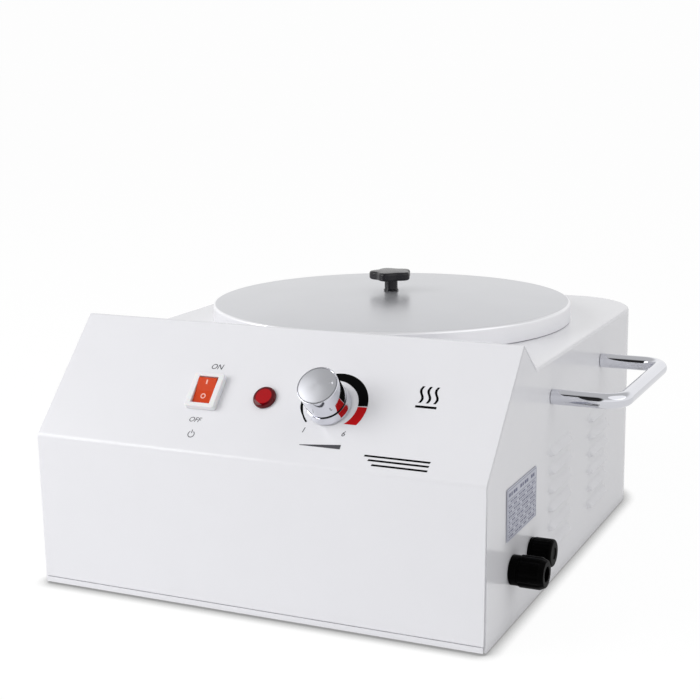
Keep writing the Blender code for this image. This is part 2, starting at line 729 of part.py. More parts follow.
def build_base_tray():
    """Floor pan with an upstand, and a front lip that shows under the console."""
    tray = piece("base_tray", prism(tray_outline(0), TRAY_BOTTOM, TRAY_TOP + TRAY_UPSTAND), "white_enamel")
    well = prism(tray_outline(SHEET), TRAY_TOP, TRAY_TOP + TRAY_UPSTAND + CUT_OVERRUN)
    combine(tray, well, "DIFFERENCE")
    lip_outline = [
        (0.0, SKIRT_CLEARANCE),
        (SHEET, SKIRT_CLEARANCE),
        (SHEET, TRAY_BOTTOM),
        (WALL_INSET + SHEET / 2, TRAY_BOTTOM),
        (WALL_INSET + SHEET / 2, TRAY_TOP),
        (0.0, TRAY_TOP),
    ]
    lip = loft([[(x, from_front(y), z) for y, z in lip_outline] for x in (WALL_INSET - HALF_WIDTH, HALF_WIDTH - WALL_INSET)])
    combine(tray, lip, "UNION")
    for x, y, _ in foot_places():
        bore = rod(FOOT_SCREW_RADIUS + FOOT_BORE_SLIP, TRAY_BOTTOM - CUT_OVERRUN, TRAY_TOP + CUT_OVERRUN, SMALL_STEPS)
        combine(tray, bore, "DIFFERENCE", None, (x, y, 0))
    earth = rod(EARTH_STUD_RADIUS + EARTH_SLIP, TRAY_BOTTOM - CUT_OVERRUN, TRAY_TOP + CUT_OVERRUN, SMALL_STEPS)
    combine(tray, earth, "DIFFERENCE", None, (EARTH_X_SHARE * HOUSING_WIDTH, from_front(EARTH_Y), 0))


def foot_places():
    """Foot centres and their names."""
    x = HALF_WIDTH - FOOT_INSET
    y = HOUSING_DEPTH / 2 - FOOT_INSET
    return [(-x, -y, "front_left"), (x, -y, "front_right"), (-x, y, "rear_left"), (x, y, "rear_right")]


def build_feet():
    """Low rubber feet, each with its own screw from below."""
    top = TRAY_BOTTOM - SEAT_GAP
    bore = FOOT_SCREW_RADIUS + FOOT_BORE_SLIP
    recess = FOOT_SCREW_HEAD_RADIUS + FOOT_BORE_SLIP
    head_top = FOOT_SCREW_RECESS + FOOT_SCREW_HEAD_THICK
    foot = [(recess, 0), (FOOT_RADIUS - FOOT_TAPER, 0), (FOOT_RADIUS, top), (bore, top)]
    foot += [(bore, head_top + SEAT_GAP), (recess, head_top + SEAT_GAP)]
    screw = [(0, FOOT_SCREW_RECESS), (FOOT_SCREW_HEAD_RADIUS, FOOT_SCREW_RECESS)]
    screw += [(FOOT_SCREW_HEAD_RADIUS, head_top), (FOOT_SCREW_RADIUS, head_top)]
    screw += [(FOOT_SCREW_RADIUS, TRAY_TOP + FOOT_SCREW_STAND), (0, TRAY_TOP + FOOT_SCREW_STAND)]
    for x, y, corner in foot_places():
        piece(f"foot_{corner}", turned(foot, SMALL_STEPS), "rubber", None, (x, y, 0))
        piece(f"foot_screw_{corner}", turned(screw, SMALL_STEPS), "zinc", None, (x, y, 0))


def build_well(axis):
    """Fixed steel well that the pot hangs in, with a flange under the deck and a lip for the hot plate."""
    flange = WELL_OUTER + WELL_FLANGE
    outline = [
        (WELL_LIP_RADIUS, WELL_BOTTOM),
        (WELL_OUTER, WELL_BOTTOM),
        (WELL_OUTER, WELL_TOP - WELL_SHEET),
        (flange, WELL_TOP - WELL_SHEET),
        (flange, WELL_TOP),
        (WELL_RADIUS, WELL_TOP),
        (WELL_RADIUS, WELL_LIP_TOP),
        (WELL_LIP_RADIUS, WELL_LIP_TOP),
    ]
    piece("heat_well", turned(outline, LARGE_STEPS), "zinc", axis)
    inner = WELL_OUTER + SEAT_GAP
    low, high = WELL_BOTTOM, WELL_TOP - WELL_SHEET - SEAT_GAP
    sleeve = [(inner, low), (inner + SLEEVE_THICK, low), (inner + SLEEVE_THICK, high), (inner, high)]
    piece("insulation_sleeve", turned(sleeve, LARGE_STEPS), "mineral_wool", axis)
    board = rod(BOARD_RADIUS, TRAY_TOP + SEAT_GAP, BOARD_TOP, MIDDLE_STEPS)
    piece("insulation_board", board, "mineral_wool", axis)


def build_heater(axis):
    """Hot plate, the ring element under it, and the clamp that presses the element on."""
    bore = CLAMP_BOLT_RADIUS + CLAMP_BOLT_SLIP
    bite_top = BOSS_BOTTOM + CLAMP_BOLT_BITE
    plate = [
        (0, HOT_PLATE_TOP),
        (PLATE_RADIUS, HOT_PLATE_TOP),
        (PLATE_RADIUS, HOT_PLATE_BOTTOM),
        (BOSS_RADIUS, HOT_PLATE_BOTTOM),
        (BOSS_RADIUS, BOSS_BOTTOM),
        (bore, BOSS_BOTTOM),
        (bore, bite_top + SEAT_GAP),
        (0, bite_top + SEAT_GAP),
    ]
    piece("hot_plate", turned(plate, LARGE_STEPS), "satin_aluminium", axis)

    half_gap = ELEMENT_GAP_ANGLE / 2
    ring = arc_points((0, 0), ELEMENT_RING_RADIUS, half_gap - pi / 2, 3 * pi / 2 - half_gap, MIDDLE_STEPS)
    path = [(x, y, ELEMENT_Z) for x, y in ring]
    path = element_tail(path[0], half_gap - pi / 2, -1) + path + element_tail(path[-1], 3 * pi / 2 - half_gap, 1)[::-1]
    piece("heating_element", tube(path, ELEMENT_DIAMETER / 2, TUBE_STEPS), "copper", axis)

    clamp = [(bore, CLAMP_BOTTOM), (CLAMP_RADIUS, CLAMP_BOTTOM), (CLAMP_RADIUS, CLAMP_TOP), (bore, CLAMP_TOP)]
    clamp = piece("clamp_plate", turned(clamp, MIDDLE_STEPS), "zinc", axis)
    notch = prism(box_outline(CLAMP_NOTCH_WIDTH, 2 * CLAMP_NOTCH_DEPTH), CLAMP_BOTTOM - CUT_OVERRUN, CLAMP_TOP + CUT_OVERRUN)
    combine(clamp, notch, "DIFFERENCE", axis, (0, -CLAMP_RADIUS, 0))

    head = CLAMP_BOTTOM - SEAT_GAP
    bolt = [
        (0, head - CLAMP_BOLT_HEAD_THICK),
        (CLAMP_BOLT_HEAD_RADIUS, head - CLAMP_BOLT_HEAD_THICK),
        (CLAMP_BOLT_HEAD_RADIUS, head),
        (CLAMP_BOLT_RADIUS, head),
        (CLAMP_BOLT_RADIUS, bite_top),
        (0, bite_top),
    ]
    piece("clamp_bolt", turned(bolt, SMALL_STEPS), "zinc", axis)

    seat = HOT_PLATE_BOTTOM - SEAT_GAP
    cutout = rod(CUTOUT_RADIUS, seat - CUTOUT_HEIGHT, seat, SMALL_STEPS)
    piece("thermal_cutout", cutout, "bakelite", axis, (0, CUTOUT_PLACE_RADIUS, 0))


def element_tail(end, angle, turn):
    """The element's end: a bend from the ring's tangent to straight down, listed from its tip."""
    tangent = Vector((-sin(angle), cos(angle), 0)) * turn
    down = Vector((0, 0, -1))
    start = Vector(end)
    bend = []
    for i in range(1, EDGE_STEPS + 1):
        step = pi / 2 * i / EDGE_STEPS
        bend.append(start + (tangent * sin(step) + down * (1 - cos(step))) * ELEMENT_TAIL_BEND)
    return [tuple(bend[-1] + down * ELEMENT_TAIL)] + [tuple(p) for p in reversed(bend)]


def build_sensor(axis):
    """Thermostat bulb held against the hot plate by a strap."""
    seat = HOT_PLATE_BOTTOM - SEAT_GAP
    centre = (0, -BULB_PLACE_RADIUS, seat - BULB_RADIUS)
    bulb = along_x(rod(BULB_RADIUS, -BULB_LENGTH / 2, BULB_LENGTH / 2, TUBE_STEPS))
    piece("sensor_bulb", bulb, "copper", axis, centre)
    inner, outer, foot = BULB_CLIP_INNER, BULB_CLIP_OUTER, BULB_CLIP_REACH
    half = BULB_CLIP_WIDTH / 2
    top = BULB_RADIUS
    under = top - BULB_CLIP_THICK
    strap = [(-foot, top), (-foot, under), (-outer, under)]
    strap += arc_points((0, 0), outer, pi, 2 * pi, TUBE_STEPS) + [(outer, under), (foot, under), (foot, top)]
    strap += [(inner, top)] + arc_points((0, 0), inner, 2 * pi, pi, TUBE_STEPS) + [(-inner, top)]
    piece("bulb_clip", loft([[(x, y, z) for y, z in strap] for x in (-half, half)]), "zinc", axis, centre)


def build_pot(axis):
    """Bucket with a support flange on the deck and a rolled rim under the lid."""
    inner = POT_RADIUS - POT_WALL
    rim = lid_underside(POT_RADIUS) - SEAT_GAP
    bend = POT_BASE_BEND
    inner_bend = max(bend - POT_WALL, SMALLEST_BEND)
    outline = [(0, POT_BOTTOM)]
    outline += arc_points((POT_RADIUS - bend, POT_BOTTOM + bend), bend, -pi / 2, 0, EDGE_STEPS)
    outline += [(POT_RADIUS, POT_SEAT), (POT_FLANGE_RADIUS, POT_SEAT)]
    outline += [(POT_FLANGE_RADIUS, POT_SEAT + POT_FLANGE_THICK), (POT_RADIUS, POT_SEAT + POT_FLANGE_THICK)]
    bead_centre = (POT_RADIUS, rim - POT_RIM_BEAD)
    outline += arc_points(bead_centre, POT_RIM_BEAD, -pi / 2, pi / 2, EDGE_STEPS)
    outline += [(inner, rim)]
    floor = POT_BOTTOM + POT_WALL
    outline += arc_points((inner - inner_bend, floor + inner_bend), inner_bend, 0, -pi / 2, EDGE_STEPS)
    outline += [(0, floor)]
    piece("wax_pot", turned(outline, LARGE_STEPS), "spun_aluminium", axis)


def lid_surface(radius):
    """Height of the lid's outer dome at a radius."""
    return LID_EDGE_TOP + LID_CROWN * (1 - (radius / LID_RADIUS) ** 2)


def lid_underside(radius):
    return lid_surface(radius) - LID_SHEET


def build_lid(axis):
    """Domed lid with a plain rim, and a hole for the knob's screw."""
    hole = LID_SCREW_RADIUS + LID_SCREW_SLIP
    dome = LID_RADIUS - LID_EDGE_BEND
    radii = [hole + (dome - hole) * i / DOME_STEPS for i in range(DOME_STEPS + 1)]
    corner = (dome, lid_surface(dome) - LID_EDGE_BEND)
    inner_bend = max(LID_EDGE_BEND - LID_SHEET, SMALLEST_BEND)
    outline = [(r, lid_surface(r)) for r in radii]
    outline += arc_points(corner, LID_EDGE_BEND, pi / 2, 0, EDGE_STEPS)[1:]
    outline += [(LID_RADIUS, LID_BOTTOM), (LID_INNER_RADIUS, LID_BOTTOM)]
    outline += arc_points(corner, inner_bend, 0, pi / 2, EDGE_STEPS)[:-1]
    outline += [(r, lid_underside(r)) for r in reversed(radii)]
    piece("lid", turned(outline, LARGE_STEPS), "satin_aluminium", axis)

    stem_bottom = lid_surface(LID_STEM_RADIUS) + SEAT_GAP
    bore = LID_SCREW_RADIUS + LID_SCREW_SLIP
    stem = [(bore, lid_surface(bore) + SEAT_GAP), (LID_STEM_RADIUS, stem_bottom), (LID_STEM_RADIUS, STEM_TOP), (bore, STEM_TOP)]
    piece("lid_knob_stem", turned(stem, SMALL_STEPS), "black_gloss", axis)

    head_bottom = STEM_TOP + SEAT_GAP
    head_top = head_bottom + LID_KNOB_THICK
    heights = (head_bottom, head_bottom + LID_KNOB_EDGE, head_top - LID_KNOB_EDGE, head_top)
    loops = [[(x, y, z) for x, y in knob_lobes(inset)] for z, inset in zip(heights, (LID_KNOB_EDGE, 0, 0, LID_KNOB_EDGE))]
    head = piece("lid_knob", loft(loops), "black_gloss", axis)
    bite = rod(bore, head_bottom - CUT_OVERRUN, head_bottom + LID_SCREW_BITE + SEAT_GAP, SMALL_STEPS)
    combine(head, bite, "DIFFERENCE", axis)

    seat = lid_underside(LID_SCREW_HEAD_RADIUS) - SEAT_GAP
    screw = [
        (0, seat - LID_SCREW_HEAD_THICK),
        (LID_SCREW_HEAD_RADIUS, seat - LID_SCREW_HEAD_THICK),
        (LID_SCREW_HEAD_RADIUS, seat),
        (LID_SCREW_RADIUS, seat),
        (LID_SCREW_RADIUS, head_bottom + LID_SCREW_BITE),
        (0, head_bottom + LID_SCREW_BITE),
    ]
    piece("lid_knob_screw", turned(screw, SMALL_STEPS), "zinc", axis)


def knob_lobes(inset):
    """Plan of the lid knob's head: lobes round a circle, moved in by an inset."""
    middle = LID_KNOB_RADIUS - LID_KNOB_LOBE_DEPTH / 2 - inset
    points = []
    steps = LOBE_STEPS * LID_KNOB_LOBES
    for i in range(steps):
        angle = 2 * pi * i / steps
        radius = middle + LID_KNOB_LOBE_DEPTH / 2 * cos(LID_KNOB_LOBES * (angle - LID_KNOB_TURN))
        points.append((radius * cos(angle), radius * sin(angle)))
    return points


def build_switch(slope):
    """Rocker switch: a snap-in body with a bezel, its rocker and two terminals."""
    place = (SWITCH_X, CONTROL_V, 0)
    body = rounded_box_outline(SWITCH_BODY_WIDTH, SWITCH_BODY_LENGTH, SWITCH_BODY_CORNER)
    bezel = rounded_box_outline(BEZEL_WIDTH, BEZEL_LENGTH, BEZEL_CORNER)
    edge = rounded_box_outline(BEZEL_WIDTH - 2 * BEZEL_CHAMFER, BEZEL_LENGTH - 2 * BEZEL_CHAMFER, BEZEL_CORNER)
    levels = (
        (body, -SWITCH_BODY_DEPTH),
        (body, SEAT_GAP),
        (bezel, SEAT_GAP),
        (bezel, BEZEL_HEIGHT - BEZEL_CHAMFER),
        (edge, BEZEL_HEIGHT),
    )
    switch = piece("switch_body", loft([[(x, y, z) for x, y in outline] for outline, z in levels]), "white_plastic", slope, place)
    pocket_width = ROCKER_WIDTH + 2 * ROCKER_SIDE_SLIP
    pocket_length = 2 * (ROCKER_END_RADIUS + ROCKER_END_SLIP)
    pocket = prism(box_outline(pocket_width, pocket_length), -ROCKER_POCKET_DEPTH, BEZEL_HEIGHT + CUT_OVERRUN)
    combine(switch, pocket, "DIFFERENCE", slope, place)
    pivot = (SWITCH_X, CONTROL_V, ROCKER_PIVOT_HEIGHT)
    pin_reach = ROCKER_WIDTH / 2 + ROCKER_PIN_REACH
    socket_reach = pin_reach + ROCKER_PIN_SLIP
    socket = along_x(rod(ROCKER_PIN_RADIUS + ROCKER_PIN_SLIP, -socket_reach, socket_reach, TUBE_STEPS))
    combine(switch, socket, "DIFFERENCE", slope, pivot)

    top = (ROCKER_END_RADIUS * cos(ROCKER_TOP_ANGLE), ROCKER_END_RADIUS * sin(ROCKER_TOP_ANGLE))
    side = arc_points((0, 0), ROCKER_END_RADIUS, ROCKER_TOP_ANGLE, -ROCKER_SKIRT_ANGLE, BEND_STEPS)
    profile = [(0.0, ROCKER_CREST), top] + side[1:] + mirrored(side[1:]) + [(-top[0], top[1])]
    half = ROCKER_WIDTH / 2
    rocker = piece("switch_rocker", loft([[(x, y, z) for y, z in profile] for x in (-half, half)]), "orange_plastic", slope, pivot)
    pin = along_x(rod(ROCKER_PIN_RADIUS, -pin_reach, pin_reach, TUBE_STEPS))
    combine(rocker, pin, "UNION", slope, pivot)
    rocker.rotation_euler = (ROCKER_TILT, 0, 0)

    top = -SWITCH_BODY_DEPTH - SEAT_GAP
    for sign, name in ((1, "live"), (-1, "load")):
        blade = prism(box_outline(TERMINAL_WIDTH, TERMINAL_THICK), top - TERMINAL_LENGTH, top)
        piece(f"switch_terminal_{name}", blade, "brass", slope, (SWITCH_X, CONTROL_V + sign * TERMINAL_SPACING / 2, 0))


def build_lamp(slope):
    """Neon indicator: red lens, body through the panel, and the clip behind it."""
    place = (LAMP_X, CONTROL_V, 0)
    ball = (LENS_RADIUS**2 + LENS_DOME**2) / (2 * LENS_DOME)
    base = SEAT_GAP + LENS_SKIRT
    edge_angle = pi / 2 - asin(LENS_RADIUS / ball)
    dome = arc_points((0, base + LENS_DOME - ball), ball, edge_angle, pi / 2, EDGE_STEPS)
    lens = [(0, SEAT_GAP), (LENS_RADIUS, SEAT_GAP)] + dome[:-1] + [(0, base + LENS_DOME)]
    piece("lamp_lens", turned(lens, MIDDLE_STEPS), "red_lens", slope, place)
    piece("lamp_body", rod(LAMP_BODY_RADIUS, -LAMP_BODY_DEPTH, 0, SMALL_STEPS), "bakelite", slope, place)
    inner = LAMP_BODY_RADIUS + LAMP_CLIP_SLIP
    low = BEHIND_PANEL - LAMP_CLIP_THICK
    clip = [(inner, low), (LAMP_CLIP_RADIUS, low), (LAMP_CLIP_RADIUS, BEHIND_PANEL), (inner, BEHIND_PANEL)]
    piece("lamp_clip", turned(clip, SMALL_STEPS), "zinc", slope, place)


def build_thermostat(slope):
    """Capillary thermostat with its neck nut, and the shaft that the knob turns."""
    place = (KNOB_X, KNOB_V, 0)
    low = BEHIND_PANEL - THERMOSTAT_DEPTH
    body = piece("thermostat_body", prism(box_outline(THERMOSTAT_WIDTH, THERMOSTAT_LENGTH), low, BEHIND_PANEL), "bakelite", slope, place)
    combine(body, rod(NECK_RADIUS, BEHIND_PANEL - CUT_OVERRUN, NECK_HEIGHT, SMALL_STEPS), "UNION", slope, place)
    bore = rod(SHAFT_RADIUS + SHAFT_SLIP, -SHAFT_BELOW - SEAT_GAP, NECK_HEIGHT + CUT_OVERRUN, SMALL_STEPS)
    combine(body, bore, "DIFFERENCE", slope, place)
    nut("thermostat_nut", NECK_NUT_FLATS, NECK_RADIUS + NECK_SLIP, SEAT_GAP, SEAT_GAP + NECK_NUT_THICK, "zinc", slope, place)
    piece("thermostat_shaft", rod(SHAFT_RADIUS, -SHAFT_BELOW, SHAFT_TOP, SMALL_STEPS), "zinc", slope, place)


def build_knob(slope):
    """Chromed knob with a flared skirt over the nut, and a satin cap with a pointer dimple."""
    place = (KNOB_X, KNOB_V, 0)
    bore = SHAFT_RADIUS + SHAFT_SLIP
    recess = KNOB_CAP_RADIUS + KNOB_CAP_SLIP
    recess_floor = KNOB_HEIGHT - KNOB_CAP_SINK
    skirt_foot = KNOB_LIFT + KNOB_SKIRT_EDGE
    flare = []
    for i in range(BEND_STEPS + 1):
        share = i / BEND_STEPS
        radius = KNOB_RADIUS + (KNOB_SKIRT_RADIUS - KNOB_RADIUS) * (1 - share) ** 2
        flare.append((radius, skirt_foot + (KNOB_SKIRT_HEIGHT - skirt_foot) * share))
    outline = [(KNOB_CAVITY_RADIUS, KNOB_LIFT), (KNOB_SKIRT_RADIUS, KNOB_LIFT)] + flare
    outline += [(KNOB_RADIUS, KNOB_HEIGHT - KNOB_CHAMFER), (KNOB_RADIUS - KNOB_CHAMFER, KNOB_HEIGHT)]
    outline += [(recess, KNOB_HEIGHT), (recess, recess_floor), (0, recess_floor)]
    outline += [(0, KNOB_BORE_TOP), (bore, KNOB_BORE_TOP), (bore, KNOB_CAVITY_TOP), (KNOB_CAVITY_RADIUS, KNOB_CAVITY_TOP)]
    piece("thermostat_knob", turned(outline, MIDDLE_STEPS), "chrome", slope, place)

    low = recess_floor + SEAT_GAP
    rim = KNOB_HEIGHT
    ball = (KNOB_CAP_RADIUS**2 + KNOB_CAP_DOME**2) / (2 * KNOB_CAP_DOME)
    edge_angle = pi / 2 - asin(KNOB_CAP_RADIUS / ball)
    dome = arc_points((0, rim + KNOB_CAP_DOME - ball), ball, edge_angle, pi / 2, EDGE_STEPS)
    cap_outline = [(0, low), (KNOB_CAP_RADIUS, low)] + dome[:-1] + [(0, rim + KNOB_CAP_DOME)]
    cap = piece("knob_cap", turned(cap_outline, MIDDLE_STEPS), "satin_aluminium", slope, place)
    surface = rim + KNOB_CAP_DOME - ball + sqrt(ball**2 - POINTER_PLACE_RADIUS**2)
    dimple = bmesh.new()
    bmesh.ops.create_uvsphere(dimple, u_segments=TUBE_STEPS, v_segments=TUBE_STEPS, radius=POINTER_RADIUS)
    x = KNOB_X + POINTER_PLACE_RADIUS * cos(POINTER_ANGLE)
    v = KNOB_V + POINTER_PLACE_RADIUS * sin(POINTER_ANGLE)
    combine(cap, dimple, "DIFFERENCE", slope, (x, v, surface + POINTER_RADIUS - POINTER_DEPTH))


def build_gland(gland):
    """Cable gland: body through the wall, dome nut outside, locknut inside. The bore is empty."""
    shoulder = SEAT_GAP + GLAND_FLANGE_THICK
    spigot = shoulder + GLAND_SPIGOT_LENGTH
    inside = -(SHEET + GLAND_INNER_LENGTH)
    body = [
        (GLAND_BORE_RADIUS, inside),
        (GLAND_THREAD_RADIUS, inside),
        (GLAND_THREAD_RADIUS, SEAT_GAP),
        (GLAND_FLANGE_RADIUS, SEAT_GAP),
        (GLAND_FLANGE_RADIUS, shoulder),
        (GLAND_SPIGOT_RADIUS, shoulder),
        (GLAND_SPIGOT_RADIUS, spigot),
        (GLAND_BORE_RADIUS, spigot),
    ]
    piece("cable_gland", turned(body, MIDDLE_STEPS), "black_nylon", gland)
    low = shoulder + SEAT_GAP
    high = low + GLAND_NUT_LENGTH
    thread = GLAND_SPIGOT_RADIUS + LOCKNUT_SLIP
    dome = [
        (thread, low),
        (GLAND_NUT_RADIUS, low),
        (GLAND_NUT_RADIUS, high - GLAND_NUT_NOSE),
        (GLAND_NUT_NOSE_RADIUS, high),
        (GLAND_BORE_RADIUS, high),
        (GLAND_BORE_RADIUS, spigot + SEAT_GAP),
        (thread, spigot + SEAT_GAP),
    ]
    piece("gland_nut", turned(dome, MIDDLE_STEPS), "black_nylon", gland)
    flats = 2 * GLAND_THREAD_RADIUS * LOCKNUT_FLATS_SHARE
    bore = GLAND_THREAD_RADIUS + LOCKNUT_SLIP
    nut("gland_locknut", flats, bore, BEHIND_PANEL - LOCKNUT_THICK, BEHIND_PANEL, "black_nylon", gland)


def build_fuse(fuse):
    """Panel fuse holder, its cap, the glass fuse behind the cap, and the locknut."""
    flange_top = SEAT_GAP + FUSE_FLANGE_THICK
    link_end = -(FUSE_PLUG_DEPTH + SEAT_GAP)
    body = [
        (0, -FUSE_BODY_DEPTH),
        (FUSE_BODY_RADIUS, -FUSE_BODY_DEPTH),
        (FUSE_BODY_RADIUS, SEAT_GAP),
        (FUSE_FLANGE_RADIUS, SEAT_GAP),
        (FUSE_FLANGE_RADIUS, flange_top),
        (FUSE_BORE_RADIUS, flange_top),
        (FUSE_BORE_RADIUS, link_end - FUSE_LINK_LENGTH - SEAT_GAP),
        (0, link_end - FUSE_LINK_LENGTH - SEAT_GAP),
    ]
    piece("fuse_holder", turned(body, MIDDLE_STEPS), "black_nylon", fuse)
    far = link_end - FUSE_LINK_LENGTH
    link = [(0, far), (FUSE_LINK_RADIUS, far), (FUSE_LINK_RADIUS, far + FUSE_LINK_CAP), (FUSE_GLASS_RADIUS, far + FUSE_LINK_CAP)]
    link += [(FUSE_GLASS_RADIUS, link_end - FUSE_LINK_CAP), (FUSE_LINK_RADIUS, link_end - FUSE_LINK_CAP)]
    link += [(FUSE_LINK_RADIUS, link_end), (0, link_end)]
    piece("fuse_link", turned(link, SMALL_STEPS), "glass", fuse)
    low = flange_top + SEAT_GAP
    high = low + FUSE_CAP_LENGTH
    edge = arc_points((FUSE_CAP_RADIUS - FUSE_CAP_ROUND, high - FUSE_CAP_ROUND), FUSE_CAP_ROUND, 0, pi / 2, EDGE_STEPS)
    cap = [(0, -FUSE_PLUG_DEPTH), (FUSE_PLUG_RADIUS, -FUSE_PLUG_DEPTH), (FUSE_PLUG_RADIUS, low)]
    cap += [(FUSE_CAP_RADIUS, low)] + edge + [(0, high)]
    piece("fuse_cap", turned(cap, MIDDLE_STEPS), "black_nylon", fuse)
    flats = 2 * FUSE_BODY_RADIUS * LOCKNUT_FLATS_SHARE
    bore = FUSE_BODY_RADIUS + LOCKNUT_SLIP
    nut("fuse_locknut", flats, bore, BEHIND_PANEL - LOCKNUT_THICK, BEHIND_PANEL, "zinc", fuse)


def build_rating_plate():
    """Bare metal plate on the right-hand wall."""
    carrier = frame("plate_frame", (HALF_WIDTH, from_front(PLATE_Y), PLATE_Z), (0, pi / 2, 0))
    outline = rounded_box_outline(PLATE_HEIGHT, PLATE_LENGTH, PLATE_CORNER)
    piece("rating_plate", prism(outline, SEAT_GAP, SEAT_GAP + PLATE_THICK), "satin_aluminium", carrier)


def build_handles():
    """A bow handle on each side wall, each with two screws from inside."""
    half = HANDLE_SPACING / 2
    reach = HALF_WIDTH + HANDLE_REACH
    corner = (reach - HANDLE_BEND, half - HANDLE_BEND)
    root = HALF_WIDTH + SEAT_GAP
    rear = [(root, half)] + arc_points(corner, HANDLE_BEND, pi / 2, 0, CORNER_STEPS)
    outline = rear + [(x, -y) for x, y in reversed(rear)]
    bore_end = root + HANDLE_SCREW_BITE + HANDLE_BORE_SPARE
    bore = HANDLE_SCREW_RADIUS + HANDLE_SCREW_SLIP
    head = SHEET + SEAT_GAP
    screw = [
        (0, -(head + HANDLE_SCREW_HEAD_THICK)),
        (HANDLE_SCREW_HEAD_RADIUS, -(head + HANDLE_SCREW_HEAD_THICK)),
        (HANDLE_SCREW_HEAD_RADIUS, -head),
        (HANDLE_SCREW_RADIUS, -head),
        (HANDLE_SCREW_RADIUS, HANDLE_SCREW_BITE),
        (0, HANDLE_SCREW_BITE),
    ]
    for sign, side in ((1, "right"), (-1, "left")):
        path = [(sign * x, y, 0) for x, y in outline]
        handle = piece(f"handle_{side}", tube(path, HANDLE_ROD_RADIUS, TUBE_STEPS), "chrome", None, (0, 0, HANDLE_Z))
        for y, end in ((-half, "front"), (half, "rear")):
            start, stop = sorted((sign * (root - CUT_OVERRUN), sign * bore_end))
            combine(handle, along_x(rod(bore, start, stop, TUBE_STEPS)), "DIFFERENCE", None, (0, y, HANDLE_Z))
            carrier = frame(f"handle_screw_{side}_{end}_frame", (sign * HALF_WIDTH, y, HANDLE_Z), (0, sign * pi / 2, 0))
            piece(f"handle_screw_{side}_{end}", turned(screw, SMALL_STEPS), "zinc", carrier)


def build_earth_and_block():
    """Terminal block on the tray, and the earth stud with its nut."""
    floor = TRAY_TOP + SEAT_GAP
    block = prism(box_outline(BLOCK_WIDTH, BLOCK_LENGTH), floor, floor + BLOCK_HEIGHT)
    piece("terminal_block", block, "white_plastic", None, (BLOCK_X_SHARE * HOUSING_WIDTH, from_front(BLOCK_Y), 0))
    place = (EARTH_X_SHARE * HOUSING_WIDTH, from_front(EARTH_Y), 0)
    head = TRAY_BOTTOM - SEAT_GAP
    stud = [
        (0, head - EARTH_HEAD_THICK),
        (EARTH_HEAD_RADIUS, head - EARTH_HEAD_THICK),
        (EARTH_HEAD_RADIUS, head),
        (EARTH_STUD_RADIUS, head),
        (EARTH_STUD_RADIUS, TRAY_TOP + EARTH_STUD_HEIGHT),
        (0, TRAY_TOP + EARTH_STUD_HEIGHT),
    ]
    piece("earth_stud", turned(stud, SMALL_STEPS), "brass", None, place)
    nut("earth_nut", EARTH_NUT_FLATS, EARTH_STUD_RADIUS + EARTH_SLIP, floor, floor + EARTH_NUT_THICK, "brass", None, place)


def on_slope(x, v, height):
    """World point of a place given on the control panel."""
    y = from_front(v * cos(SLOPE_ANGLE) - height * sin(SLOPE_ANGLE))
    return Vector((x, y, FRONT_HEIGHT + v * sin(SLOPE_ANGLE) + height * cos(SLOPE_ANGLE)))


